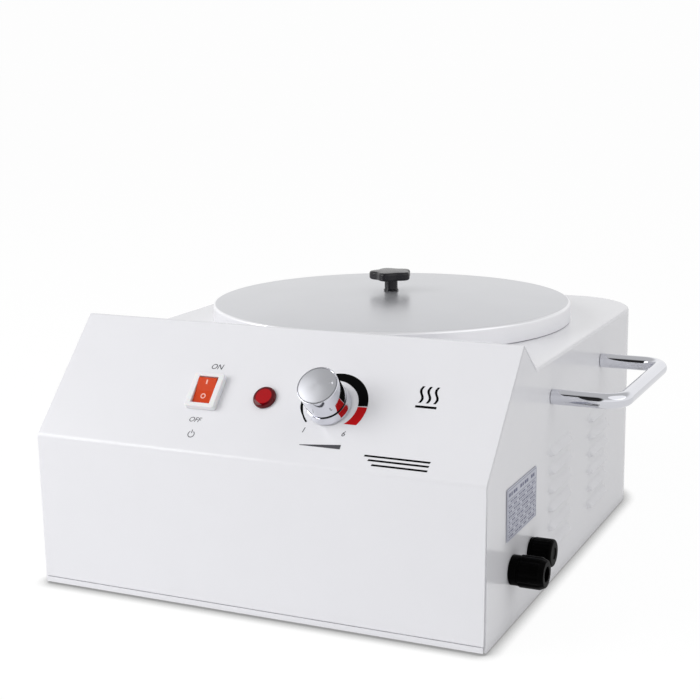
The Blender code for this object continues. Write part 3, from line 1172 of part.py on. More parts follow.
def build_wires():
    """Capillary from the bulb to the thermostat, and the two longest wires."""
    pot_y = from_front(POT_Y)
    under = -(SHEET + SEAT_GAP + THERMOSTAT_DEPTH)
    low_run = (BOARD_TOP + CLAMP_BOTTOM) / 2
    front_run = from_front(VALLEY_Y - WIRE_STUB)

    bulb_end = Vector((BULB_LENGTH / 2 + SEAT_GAP, pot_y - BULB_PLACE_RADIUS, HOT_PLATE_BOTTOM - SEAT_GAP - BULB_RADIUS))
    route = [
        bulb_end,
        bulb_end + Vector((WIRE_STUB / 2, 0, 0)),
        Vector((bulb_end.x + WIRE_STUB, bulb_end.y - WIRE_STUB, low_run)),
        Vector((KNOB_X, front_run, low_run + WIRE_STUB)),
        Vector((KNOB_X, front_run, (low_run + FRONT_HEIGHT) / 2)),
        on_slope(KNOB_X, KNOB_V, under - 2 * WIRE_STUB),
        on_slope(KNOB_X, KNOB_V, under - SEAT_GAP),
    ]
    path = smooth_route(route, 2 * WIRE_STEP_DIAMETERS * CAPILLARY_RADIUS)
    piece("capillary_tube", tube(path, CAPILLARY_RADIUS, WIRE_STEPS), "copper")

    fuse_end = Vector((HALF_WIDTH - FUSE_BODY_DEPTH - SEAT_GAP, from_front(FUSE_Y), FITTING_Z))
    switch_end = on_slope(SWITCH_X, CONTROL_V + TERMINAL_SPACING / 2, -(SWITCH_BODY_DEPTH + 2 * SEAT_GAP + TERMINAL_LENGTH))
    away = on_slope(SWITCH_X, CONTROL_V + TERMINAL_SPACING / 2, -(SWITCH_BODY_DEPTH + TERMINAL_LENGTH + 2 * WIRE_STUB))
    route = [
        fuse_end,
        fuse_end - Vector((WIRE_STUB, 0, 0)),
        Vector((KNOB_X + THERMOSTAT_WIDTH, front_run - WIRE_STUB, FITTING_Z)),
        Vector((0, front_run - WIRE_STUB, FITTING_Z + WIRE_STUB)),
        away,
        switch_end,
    ]
    path = smooth_route(route, 2 * WIRE_STEP_DIAMETERS * WIRE_RADIUS)
    piece("live_wire", tube(path, WIRE_RADIUS, WIRE_STEPS), "brown_wire")

    tail_reach = ELEMENT_RING_RADIUS * sin(ELEMENT_GAP_ANGLE / 2) - ELEMENT_TAIL_BEND * cos(ELEMENT_GAP_ANGLE / 2)
    tail_back = ELEMENT_RING_RADIUS * cos(ELEMENT_GAP_ANGLE / 2) + ELEMENT_TAIL_BEND * sin(ELEMENT_GAP_ANGLE / 2)
    tail_z = ELEMENT_Z - ELEMENT_TAIL_BEND - ELEMENT_TAIL - SEAT_GAP - WIRE_RADIUS
    tail = Vector((-tail_reach, pot_y - tail_back, tail_z))
    load_end = on_slope(SWITCH_X, CONTROL_V - TERMINAL_SPACING / 2, -(SWITCH_BODY_DEPTH + 2 * SEAT_GAP + TERMINAL_LENGTH))
    away = on_slope(SWITCH_X, CONTROL_V - TERMINAL_SPACING / 2, -(SWITCH_BODY_DEPTH + TERMINAL_LENGTH + WIRE_STUB))
    route = [
        tail,
        tail - Vector((0, WIRE_STUB, 0)),
        Vector((SWITCH_X, front_run - WIRE_STUB, tail_z + WIRE_STUB)),
        Vector((SWITCH_X - WIRE_STUB, front_run - 2 * WIRE_STUB, FITTING_Z + WIRE_STUB)),
        away,
        load_end,
    ]
    path = smooth_route(route, 2 * WIRE_STEP_DIAMETERS * WIRE_RADIUS)
    piece("heater_wire", tube(path, WIRE_RADIUS, WIRE_STEPS), "blue_wire")


def build():
    clear_scene()
    slope = frame("slope_frame", (0, from_front(0), FRONT_HEIGHT), (SLOPE_ANGLE, 0, 0))
    axis = frame("pot_axis", (0, from_front(POT_Y), 0))
    gland = frame("gland_frame", (HALF_WIDTH, from_front(GLAND_Y), FITTING_Z), (0, pi / 2, 0))
    fuse = frame("fuse_frame", (HALF_WIDTH, from_front(FUSE_Y), FITTING_Z), (0, pi / 2, 0))
    build_console_panel(slope)
    build_top_deck(axis)
    build_side_wrap(gland, fuse)
    build_base_tray()
    build_feet()
    build_well(axis)
    build_heater(axis)
    build_sensor(axis)
    build_pot(axis)
    build_lid(axis)
    build_switch(slope)
    build_lamp(slope)
    build_thermostat(slope)
    build_knob(slope)
    build_gland(gland)
    build_fuse(fuse)
    build_rating_plate()
    build_handles()
    build_earth_and_block()
    build_wires()


build()
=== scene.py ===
"""Looks of a wax heater: skins, fittings, print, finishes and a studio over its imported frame.

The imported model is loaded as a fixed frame. Each operator builds one piece or a group of like pieces on it
from surfaces worked out with numpy, and the last one sets up the stage. Lengths are metres.
"""

import json

import bmesh
import bpy
import numpy as np
from bpy.props import FloatProperty, FloatVectorProperty, IntProperty, PointerProperty
from mathutils import Matrix, Vector


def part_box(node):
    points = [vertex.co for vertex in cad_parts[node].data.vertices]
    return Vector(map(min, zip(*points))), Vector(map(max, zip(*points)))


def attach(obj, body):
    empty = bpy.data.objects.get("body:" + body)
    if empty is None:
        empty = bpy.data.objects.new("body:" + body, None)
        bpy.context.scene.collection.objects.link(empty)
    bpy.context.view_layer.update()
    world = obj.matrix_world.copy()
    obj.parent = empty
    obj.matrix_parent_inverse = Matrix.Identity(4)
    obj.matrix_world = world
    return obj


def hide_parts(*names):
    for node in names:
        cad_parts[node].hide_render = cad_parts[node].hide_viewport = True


bl_info = {
    "name": "Wax heater",
    "version": (1, 0, 0),
    "blender": (4, 5, 0),
    "location": "3D View > Sidebar > Wax heater",
    "description": "Dresses a packed wax heater with smooth skins, fittings, print, finishes and a studio",
    "category": "Object",
}

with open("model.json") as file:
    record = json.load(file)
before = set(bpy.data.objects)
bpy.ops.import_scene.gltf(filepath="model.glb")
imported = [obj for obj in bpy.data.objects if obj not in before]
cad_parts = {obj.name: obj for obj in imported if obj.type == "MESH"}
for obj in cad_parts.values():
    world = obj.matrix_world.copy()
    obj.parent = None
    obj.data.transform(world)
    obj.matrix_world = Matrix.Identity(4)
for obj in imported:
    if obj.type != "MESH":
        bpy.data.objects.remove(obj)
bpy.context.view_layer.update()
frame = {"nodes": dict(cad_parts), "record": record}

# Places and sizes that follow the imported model
DECK_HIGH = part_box("top_deck")[1]
LID_LOW, LID_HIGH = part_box("lid")
POT_LOW, POT_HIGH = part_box("wax_pot")
WELL_LOW, WELL_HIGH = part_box("heat_well")
HALF_WIDTH = DECK_HIGH.x
REAR = DECK_HIGH.y
DEPTH = 2 * REAR
DECK_TOP = DECK_HIGH.z
POT_Y = (LID_LOW.y + LID_HIGH.y) / 2
LID_RADIUS = (LID_HIGH.y - LID_LOW.y) / 2
SEAT_GAP = 0.0003

# Sheet metal of the housing, seen from the side: run from the front and height
SHEET = 0.0012
SKIRT_LOW = 0.0015
PANEL_LOW = 0.0055
FRONT_HEIGHT = 0.1023
SLOPE_RUN, RIDGE_HEIGHT = 0.0669, 0.1726
VALLEY_RUN = 0.0928
FRONT_BEND, RIDGE_BEND = 0.0045, 0.0024
REAR_CORNER = 0.054
DECK_HOLE = 0.1205
LAP = 0.0001
FOLD = [(0, FRONT_HEIGHT), (SLOPE_RUN, RIDGE_HEIGHT)]
SLOPE_VECTOR = np.array([SLOPE_RUN, RIDGE_HEIGHT - FRONT_HEIGHT])
SLOPE_LENGTH = float(np.hypot(*SLOPE_VECTOR))
SLOPE_ANGLE = float(np.arctan2(SLOPE_VECTOR[1], SLOPE_VECTOR[0]))

# Controls on the slope: x, and the way up the slope from the front bend
CONTROL_V = 0.446 * SLOPE_LENGTH
SWITCH_X, LAMP_X = -0.043493, -0.00155
KNOB_X, KNOB_V = 0.043586, 0.438 * SLOPE_LENGTH
# The dial's print sits two millimetres off the knob's middle, as the photograph shows
DIAL_X, DIAL_V = 0.0455, 0.0433

LOUVRE_TOP, LOUVRE_PITCH, LOUVRE_ROWS = 0.0892, 0.01255, 6
LOUVRE_LENGTH, LOUVRE_HEIGHT = 0.049, 0.0060
LOUVRE_STARTS = np.array([0.325, 0.578]) * DEPTH
HANDLE_Z, HANDLE_HALF = 0.1274, 0.060
FITTING_Z, GLAND_Y, FUSE_Y = 0.0372, 0.0478 - REAR, 0.085 - REAR

SLOPE = Matrix.Translation((0, -REAR, FRONT_HEIGHT)) @ Matrix.Rotation(SLOPE_ANGLE, 4, "X")
POT_AXIS = Matrix.Translation((0, POT_Y, 0))
WALL_TURN = Matrix.Rotation(np.pi / 2, 4, "Y")

# Points closer than this are one. Edges sharper than this angle stay sharp
MERGE, SHARP = 1e-6, np.radians(32)
# Thickness of a layer of printing ink, thick enough to show
INK = 0.00004
# The two colour inputs of a mix node
MIX_A, MIX_B = 6, 7


# Sizes and colours that a user may change


def linear(code):
    """Linear colour of an sRGB hex value: below the knee it divides, above it raises to 2.4."""
    parts = np.array([int(code[i : i + 2], 16) for i in (1, 3, 5)]) / 255
    return tuple(np.where(parts <= 0.04045, parts / 12.92, ((parts + 0.055) / 1.055) ** 2.4).tolist())


def number(name, about, default, least=0.0, unit="NONE"):
    """A property that holds one number."""
    return FloatProperty(name=name, description=about, default=default, min=least, unit=unit)


def paint(name, about, code):
    """A property that holds a colour, from its sRGB hex value."""
    return FloatVectorProperty(name=name, description=about, subtype="COLOR", default=linear(code), min=0, max=1)


class HeaterSizes(bpy.types.PropertyGroup):
    """Sizes of the dressing that the photograph sets."""

    edge_round: number("Deck edge", "Radius of the folded edge round the deck", 0.0020, 0.0005, "LENGTH")
    louvre_rise: number("Louvre rise", "How far a louvre's lip stands out of the wall", 0.0030, 0.0, "LENGTH")
    lid_edge: number("Lid edge", "Radius of the bend between the lid's dome and rim", 0.0020, 0.0002, "LENGTH")
    knob_lobes: IntProperty(name="Lid knob lobes", description="Lobes round the lid's knob", default=5, min=3)
    dial_outer: number("Dial radius", "Outer radius of the band printed round the knob", 0.0226, 0.017, "LENGTH")
    dial_inner: number("Dial inner radius", "Inner radius of the printed band", 0.0163, 0.016, "LENGTH")
    letter_height: number("Lettering", "Size of the switch lettering and dial numbers", 0.0054, 0.001, "LENGTH")
    round_steps: IntProperty(name="Round steps", description="Points round a large circle", default=192, min=32)


class HeaterColours(bpy.types.PropertyGroup):
    """Colours of the finishes."""

    enamel: paint("Enamel", "White enamel of the housing", "#EFEFF3")
    lid: paint("Lid", "Satin aluminium of the lid", "#D4D5D9")
    chrome: paint("Chrome", "Chrome of the handles and knob", "#DFE0E6")
    rocker: paint("Rocker", "Orange-red plastic of the rocker", "#D4400A")
    lens: paint("Lens", "Red plastic of the lamp", "#B00511")
    dial_red: paint("Dial red", "Red ink of the dial's hot end", "#C8181C")
    ink: paint("Ink", "Black ink of the panel print", "#020203")


class HeaterStage(bpy.types.PropertyGroup):
    """Light, floor and camera."""

    sky: number("Sky", "Strength of the even light from all round", 0.42)
    box: number("Soft box", "Power of the soft box at the front left", 21.5, unit="POWER")
    side_box: number("Side box", "Power of the small soft box at the right", 0.65, unit="POWER")
    ceiling: number("Ceiling", "Brightness of the ceiling that gloss mirrors", 0.58)
    floor_lift: number("Floor lift", "Light added to the floor for the camera", 0.941)
    lens: number("Lens", "Focal length of the camera in millimetres", 74.24, 10.0)


def sizes():
    """The size properties of the scene."""
    return bpy.context.scene.wax_heater_sizes


def colours():
    """The colour properties of the scene."""
    return bpy.context.scene.wax_heater_colours


# Shapes: each is (points, faces)


def arc(centre, radius, start, stop, steps):
    """Points on a circle: centre plus radius times (cos a, sin a), a going evenly from start to stop in degrees."""
    angle = np.radians(np.linspace(start, stop, steps + 1))
    return np.array(centre) + radius * np.column_stack([np.cos(angle), np.sin(angle)])


def rounded(corners, radii, steps=8, closed=False):
    """Polyline whose corners are arcs: an arc starts radius / tan(half the corner's angle) before the corner,
    and its points swing evenly from there about the centre on the corner's bisector."""
    corners = np.asarray(corners, float)
    before, at, after = np.roll(corners, 1, 0), corners, np.roll(corners, -1, 0)
    if not closed:
        before, at, after = before[1:-1], at[1:-1], after[1:-1]
    radii = np.broadcast_to(radii, len(at)).astype(float)[:, None]
    back, ahead = before - at, after - at
    back /= np.linalg.norm(back, axis=1, keepdims=True)
    ahead /= np.linalg.norm(ahead, axis=1, keepdims=True)
    half = np.arccos(np.clip((back * ahead).sum(1, keepdims=True), -1, 1)) / 2
    middle = back + ahead
    centre = at + middle / np.linalg.norm(middle, axis=1, keepdims=True) * radii / np.sin(half)
    start = at + back * radii / np.tan(half) - centre
    stop = at + ahead * radii / np.tan(half) - centre
    swing = (np.pi - 2 * half)[:, :, None]
    share = np.linspace(0, 1, steps + 1)[None, :, None]
    bend = (np.sin((1 - share) * swing) * start[:, None] + np.sin(share * swing) * stop[:, None]) / np.sin(swing)
    path = (bend + centre[:, None]).reshape(-1, corners.shape[1])
    return path if closed else np.vstack([corners[:1], path, corners[-1:]])


def inset_path(corners, distance):
    """Polyline moved to its right by a distance: a corner moves along the sum of its sides' normals,
    over one plus their dot product."""
    corners = np.asarray(corners, float)
    step = np.diff(corners, axis=0)
    step /= np.linalg.norm(step, axis=1, keepdims=True)
    normal = np.column_stack([step[:, 1], -step[:, 0]])
    first, second = np.vstack([normal[:1], normal]), np.vstack([normal, normal[-1:]])
    return corners + distance * (first + second) / (1 + (first * second).sum(1, keepdims=True))


def grid(rows, columns, wrap=False):
    """Faces of a grid of points kept row by row. With wrap, the last column joins the first."""
    index = np.arange(rows * columns).reshape(rows, columns)
    if wrap:
        index = np.hstack([index, index[:, :1]])
    return np.stack([index[:-1, :-1], index[:-1, 1:], index[1:, 1:], index[1:, :-1]], axis=-1).reshape(-1, 4)


def surface(x, y, z, wrap=False):
    """Grid of points (x, y, z), the three broadcast against each other."""
    points = np.stack(np.broadcast_arrays(x, y, z), axis=-1)
    return points.reshape(-1, 3), grid(*points.shape[:2], wrap)


def polar(radius, angle, height, wrap=False):
    """Grid of points (r cos a, r sin a, z), the three broadcast against each other."""
    return surface(radius * np.cos(angle), radius * np.sin(angle), height, wrap)


def joined(parts):
    """Several (points, faces) as one, each part's faces counted on from the parts before it."""
    starts = np.cumsum([0] + [len(points) for points, _ in parts[:-1]])
    return np.vstack([p for p, _ in parts]), np.vstack([f + s for (_, f), s in zip(parts, starts)])


def turned(profile, steps=None, closed=False):
    """Surface of revolution about Z: a profile point (r, z) becomes (r cos a, r sin a, z) for a full turn."""
    profile = np.asarray(profile)
    if closed:
        profile = np.vstack([profile, profile[:1]])
    angle = np.linspace(0, 2 * np.pi, steps or sizes().round_steps, endpoint=False)
    return polar(profile[:, :1], angle, profile[:, 1:], wrap=True)


def closed_ring(corners, radii, bend_steps, steps=None):
    """Ring turned about Z from a closed profile with rounded corners."""
    return turned(rounded(corners, radii, bend_steps, closed=True), steps, closed=True)


def fluted(shape, inner, outer, depth, count, power=1):
    """The shape with flutes about Z: its radius shrinks by the share depth (1/2 + 1/2 cos(count a)) ** power,
    which comes in between an inner and an outer radius."""
    points, faces = shape
    reach, turn = np.hypot(points[:, 0], points[:, 1]), np.arctan2(points[:, 1], points[:, 0])
    share = np.clip((reach - inner) / (outer - inner), 0, 1)
    points[:, :2] *= (1 - depth * share * (0.5 + 0.5 * np.cos(count * turn)) ** power)[:, None]
    return points, faces


def rounded_rectangle(width, length, corner, steps=6):
    """Outline of a rectangle with quarter circles of one radius at its corners."""
    centres = np.array([(1, 1), (-1, 1), (-1, -1), (1, -1)]) * (np.array([width, length]) / 2 - corner)
    angle = np.linspace(0, np.pi / 2, steps + 1)[None, :] + (np.pi / 2 * np.arange(4))[:, None]
    return (centres[:, None] + corner * np.stack([np.cos(angle), np.sin(angle)], axis=-1)).reshape(-1, 2)


def stacked(rows):
    """Closed outlines of equal point counts joined one above another: each row is (outline, height)."""
    points = np.vstack([np.column_stack([outline, np.full(len(outline), height)]) for outline, height in rows])
    return points, grid(len(rows), len(rows[0][0]), wrap=True)


def eased_rows(width, length, corner, top, ease, opening=False, steps=4):
    """Rows of a rectangle's edge at its top. The inset is ease (1 - cos a) and the height top - ease (1 - sin a).
    For an opening the same quarter circle leads down into it."""
    angle = np.linspace(0, np.pi / 2, steps + 1)
    inset, height = ease * (1 - np.cos(angle)), top - ease * (1 - np.sin(angle))
    if opening:
        inset, height = -inset[::-1], height[::-1]
    return [
        (rounded_rectangle(width - 2 * i, length - 2 * i, max(corner - i, 0)), h) for i, h in zip(inset, height)
    ]


def sector(inner, outer, start, stop, steps=48, rings=4):
    """Flat band between two radii, whose stop may change from ring to ring. Start and stop are degrees."""
    share = np.linspace(0, 1, rings)[:, None]
    stop = np.reshape(stop, (-1, 1))
    angle = np.radians(start + (stop - start) * np.linspace(0, 1, steps + 1))
    return polar(inner + (outer - inner) * share, angle + 0 * share, 0.0)


def sheet_patch(x0, x1, y0, y1, slant=0.0, height=0.0):
    """Flat four-sided patch, whose upper side is moved sideways by the slant."""
    points = np.array([(x0, y0), (x1, y0), (x0 + slant, y1), (x1 + slant, y1)])
    return np.column_stack([points, np.full(4, height)]), grid(2, 2)


def rod_along(path, radius, steps, ease):
    """Round rod along a flat path at one height: P = path + r (cos a n + sin a z), n being the path's
    sideways normal. Its ends close on their middle, with a small ease round their edge."""
    path = np.asarray(path, float)
    run = np.gradient(path, axis=0)
    run /= np.linalg.norm(run, axis=1, keepdims=True)
    head = path[:1] + run[:1] * ease * [[0], [0], [1]]
    tail = path[-1:] - run[-1:] * ease * [[1], [0], [0]]
    path = np.vstack([head, path[1:-1], tail])
    run = np.vstack([run[[0, 0, 0]], run[1:-1], run[[-1, -1, -1]]])
    size = np.full(len(path), radius)
    size[[0, -1]] = 0
    size[[1, -2]] = radius - ease
    angle = np.linspace(0, 2 * np.pi, steps, endpoint=False)
    out, up = size[:, None] * np.cos(angle), size[:, None] * np.sin(angle)
    return surface(path[:, :1] + out * run[:, 1:], path[:, 1:] - out * run[:, :1], up, wrap=True)


def moved(shape, place):
    """The shape under a 4 x 4 matrix."""
    points, faces = shape
    matrix = np.array(place)
    return points @ matrix[:3, :3].T + matrix[:3, 3], faces


def on_slope(x, v, height=0.0):
    """Place on the control slope: x, the way up it, and the height over it."""
    return SLOPE @ Matrix.Translation((x, v, height))


# Pieces


def mounted(name, mesh, finish, body):
    """The object of a finished mesh, in one finish, riding on its body."""
    mesh.name = name
    mesh.materials.clear()
    mesh.materials.append(finish)
    obj = bpy.data.objects.new(name, mesh)
    bpy.context.scene.collection.objects.link(obj)
    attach(obj, body)
    return obj


def evaluated(source):
    """The mesh of an object after its modifiers, or of a text. The object and its own data go."""
    bpy.context.scene.collection.objects.link(source)
    graph = bpy.context.evaluated_depsgraph_get()
    mesh = bpy.data.meshes.new_from_object(source.evaluated_get(graph))
    data = source.data
    bpy.data.objects.remove(source)
    kind = bpy.data.meshes if isinstance(data, bpy.types.Mesh) else bpy.data.curves
    kind.remove(data)
    return mesh


def piece(name, shape, body, slot, replaces=(), place=None, finish=None, thick=0.0, sheet=False, bevel=0.0):
    """One finished piece in the row frame: seams and poles merged, faces outward, a sheet given its thickness,
    smooth shading with weighted normals so that flats stay flat, riding on its body and standing for its CAD
    nodes. A flat sheet keeps its faces' order. Without a finish, it has the one of its slot."""
    points, faces = shape if place is None else moved(shape, place)
    mesh = bpy.data.meshes.new(name)
    mesh.from_pydata(points.tolist(), [], faces.tolist())
    bm = bmesh.new()
    bm.from_mesh(mesh)
    bmesh.ops.remove_doubles(bm, verts=bm.verts, dist=MERGE)
    bmesh.ops.dissolve_degenerate(bm, dist=MERGE, edges=bm.edges)
    if not sheet:
        bmesh.ops.recalc_face_normals(bm, faces=bm.faces)
    if bm.calc_volume(signed=True) < 0:
        bmesh.ops.reverse_faces(bm, faces=bm.faces)
    bm.to_mesh(mesh)
    bm.free()
    if thick or bevel:
        source = bpy.data.objects.new(name, mesh)
        if thick:
            wall = source.modifiers.new("wall", "SOLIDIFY")
            wall.thickness = thick
            wall.offset = 1.0 if sheet else -1.0
            wall.use_even_offset = True
        if bevel:
            edge = source.modifiers.new("edge", "BEVEL")
            edge.width = bevel
            edge.segments = 2
            edge.limit_method = "ANGLE"
            edge.angle_limit = np.radians(60)
        mesh = evaluated(source)
    mesh.shade_smooth()
    mesh.set_sharp_from_angle(angle=SHARP)
    obj = mounted(name, mesh, finish or FINISH_OF_SLOT[slot](), body)
    obj.modifiers.new("flats", "WEIGHTED_NORMAL").keep_sharp = True
    if replaces:
        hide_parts(*replaces)
    return obj


def printed(name, shape, place, finish, body="housing", slot="black_gloss", thick=INK):
    """A flat layer of ink on its place."""
    return piece(name, shape, body, slot, place=place, finish=finish, thick=thick, sheet=True)


def lettering(name, text, height, place, finish):
    """Printed characters: a slanted text curve with a little depth, made a mesh before its place is applied."""
    curve = bpy.data.curves.new(name, "FONT")
    curve.body, curve.size, curve.shear = text, height, 0.25
    curve.align_x, curve.align_y = "CENTER", "CENTER"
    curve.extrude, curve.resolution_u = 0.00003, 4
    mesh = evaluated(bpy.data.objects.new(name + "_text", curve))
    mesh.transform(place)
    return mounted(name, mesh, finish, "housing")


# Finishes


def add_node(tree, kind, values=None, links=None, **properties):
    """Add one node: its properties, its input values and its links, which are output sockets by input name."""
    node = tree.nodes.new(kind)
    for key, value in properties.items():
        setattr(node, key, value)
    for key, value in (values or {}).items():
        node.inputs[key].default_value = value
    for key, socket in (links or {}).items():
        tree.links.new(socket, node.inputs[key])
    return node


def grained(name, colour, roughness, metallic=0.0, grain=1.0, height=0.0, tint=0.03, gloss=0.04, **sockets):
    """A finish with grain: noise of a real size in millimetres shades the colour, varies the roughness and
    raises a bump of a height in millimetres. Other shader inputs go straight to their sockets."""
    made = bpy.data.materials.get(name)
    if made:
        return made
    material = bpy.data.materials.new(name)
    material.use_nodes = True
    tree = material.node_tree
    shader = tree.nodes["Principled BSDF"]
    shader.inputs["Metallic"].default_value = metallic
    for key, value in sockets.items():
        shader.inputs[key.replace("_", " ").title().replace("Ior", "IOR")].default_value = value
    place = add_node(tree, "ShaderNodeTexCoord").outputs["Object"]
    fine = add_node(tree, "ShaderNodeTexNoise", {"Scale": 1000 / grain, "Detail": 3.0}, {"Vector": place})
    broad = add_node(tree, "ShaderNodeTexNoise", {"Scale": 22.0, "Detail": 2.0}, {"Vector": place})
    colour = np.array([*colour[:3], 1.0])
    darker = colour * np.array([1 - tint, 1 - tint, 1 - tint, 1])
    ramp = add_node(tree, "ShaderNodeValToRGB", None, {"Fac": broad.outputs["Fac"]})
    for stop, position, tone in zip(ramp.color_ramp.elements, (0.35, 0.65), (darker, colour)):
        stop.position, stop.color = position, tone
    tree.links.new(ramp.outputs["Color"], shader.inputs["Base Color"])
    values = {"To Min": max(roughness - gloss, 0.02), "To Max": roughness + gloss}
    rough = add_node(tree, "ShaderNodeMapRange", values, {"Value": fine.outputs["Fac"]})
    tree.links.new(rough.outputs["Result"], shader.inputs["Roughness"])
    if height:
        values = {"Strength": 1.0, "Distance": height / 1000}
        bump = add_node(tree, "ShaderNodeBump", values, {"Height": fine.outputs["Fac"]})
        tree.links.new(bump.outputs["Normal"], shader.inputs["Normal"])
    return material


def from_axis(tree, place, turn=0.0):
    """Distance of a surface point from an axis: Object coordinates centred on a place and turned about X,
    without their height."""
    coordinates = tree.nodes["Texture Coordinate"].outputs["Object"]
    values = {"Location": place, "Rotation": (turn, 0, 0)}
    local = add_node(tree, "ShaderNodeMapping", values, {"Vector": coordinates}, vector_type="TEXTURE")
    flat = add_node(tree, "ShaderNodeVectorMath", {1: (1, 1, 0)}, {0: local.outputs["Vector"]}, operation="MULTIPLY")
    span = add_node(tree, "ShaderNodeVectorMath", None, {0: flat.outputs["Vector"]}, operation="LENGTH")
    return span.outputs["Value"]


def painted_light_band(material, distance, start, stop, colour):
    """Painted light on a finish: a second colour, lighter for a highlight or darker for shade, comes in
    between two distances from an axis.
    """
    tree = material.node_tree
    values = {"From Min": start, "From Max": stop}
    share = add_node(tree, "ShaderNodeMapRange", values, {"Value": distance}, interpolation_type="SMOOTHSTEP")
    links = {"Factor": share.outputs["Result"], MIX_A: tree.nodes["Color Ramp"].outputs["Color"]}
    mix = add_node(tree, "ShaderNodeMix", None, links, data_type="RGBA")
    mix.inputs[MIX_B].default_value = (*colour[:3], 1.0)
    tree.links.new(mix.outputs[2], tree.nodes["Principled BSDF"].inputs["Base Color"])


def spun(name, colour, roughness, place, turn=0.0, ring=0.5, height=0.0006, brush=0.0, rim=None, metallic=1.0):
    """A turned metal finish: one-dimensional noise of the distance from an axis raises rings of a spacing in
    millimetres, and the tangent runs round the axis, so a brushed face fans its highlight. A rim is
    (start, stop, colour) of a second, lighter tone painted on as a highlight band."""
    made = bpy.data.materials.get(name)
    if made:
        return made
    material = grained(name, colour, roughness, metallic, grain=0.8, tint=0.02, gloss=0.02)
    tree = material.node_tree
    shader = tree.nodes["Principled BSDF"]
    distance = from_axis(tree, place, turn)
    values = {"Scale": 1000 / ring, "Detail": 2.0}
    rings = add_node(tree, "ShaderNodeTexNoise", values, {"W": distance}, noise_dimensions="1D")
    values = {"Strength": 1.0, "Distance": height / 1000}
    bump = add_node(tree, "ShaderNodeBump", values, {"Height": rings.outputs["Fac"]})
    tree.links.new(bump.outputs["Normal"], shader.inputs["Normal"])
    if rim:
        painted_light_band(material, distance, *rim)
    if brush:
        shader.inputs["Anisotropic"].default_value = brush
        axis = Vector((0, -np.sin(turn), np.cos(turn)))
        coordinates = tree.nodes["Texture Coordinate"].outputs["Object"]
        spoke = add_node(tree, "ShaderNodeVectorMath", {1: place}, {0: coordinates}, operation="SUBTRACT")
        links = {1: spoke.outputs["Vector"]}
        round_it = add_node(tree, "ShaderNodeVectorMath", {0: axis}, links, operation="CROSS_PRODUCT")
        links = {"Vector": round_it.outputs["Vector"]}
        world = add_node(tree, "ShaderNodeVectorTransform", None, links, convert_from="OBJECT", convert_to="WORLD")
        unit = add_node(tree, "ShaderNodeVectorMath", None, {0: world.outputs["Vector"]}, operation="NORMALIZE")
        tree.links.new(unit.outputs["Vector"], shader.inputs["Tangent"])
    return material


def lid_metal():
    # Spun and satin anodised aluminium: the oxide scatters part of the light, which leaves a soft grey sheen
    # with faint rings about the lid's middle, and a near-white band painted at the rim as a highlight
    rim = (LID_RADIUS - 0.0018, LID_RADIUS - 0.0010, linear("#FAFAFD"))
    return spun("satin anodised aluminium", colours().lid, 0.30, (0, POT_Y, 0), 0, 0.7, 0.0008, 0, rim, 0.6)


def lens_plastic():
    # Clear red polycarbonate over a dark well: deep colour and sharp gloss, with a darker red rim painted on as shade
    name = "red polycarbonate lens"
    material = grained(name, colours().lens, 0.08, grain=2.0, tint=0.10, gloss=0.02, specular_ior_level=0.28)
    tree = material.node_tree
    if "Mapping" not in tree.nodes:
        axis = tuple(on_slope(LAMP_X, CONTROL_V).translation)
        painted_light_band(material, from_axis(tree, axis, SLOPE_ANGLE), 0.0050, 0.0056, linear("#5A000A"))
    return material


def ink(name, colour):
    # Screen-printed enamel ink: flat, matt colour
    return grained(name, colour, 0.5, grain=0.5, height=0.001, tint=0.05, specular_ior_level=0.04)


def plain(name, colour, roughness, metallic=0.0, **more):
    """A function that makes a grained finish when it is called. A colour is a hex value or a property's name."""

    def make():
        tone = linear(colour) if colour.startswith("#") else getattr(colours(), colour)
        return grained(name, tone, roughness, metallic, **more)

    return make


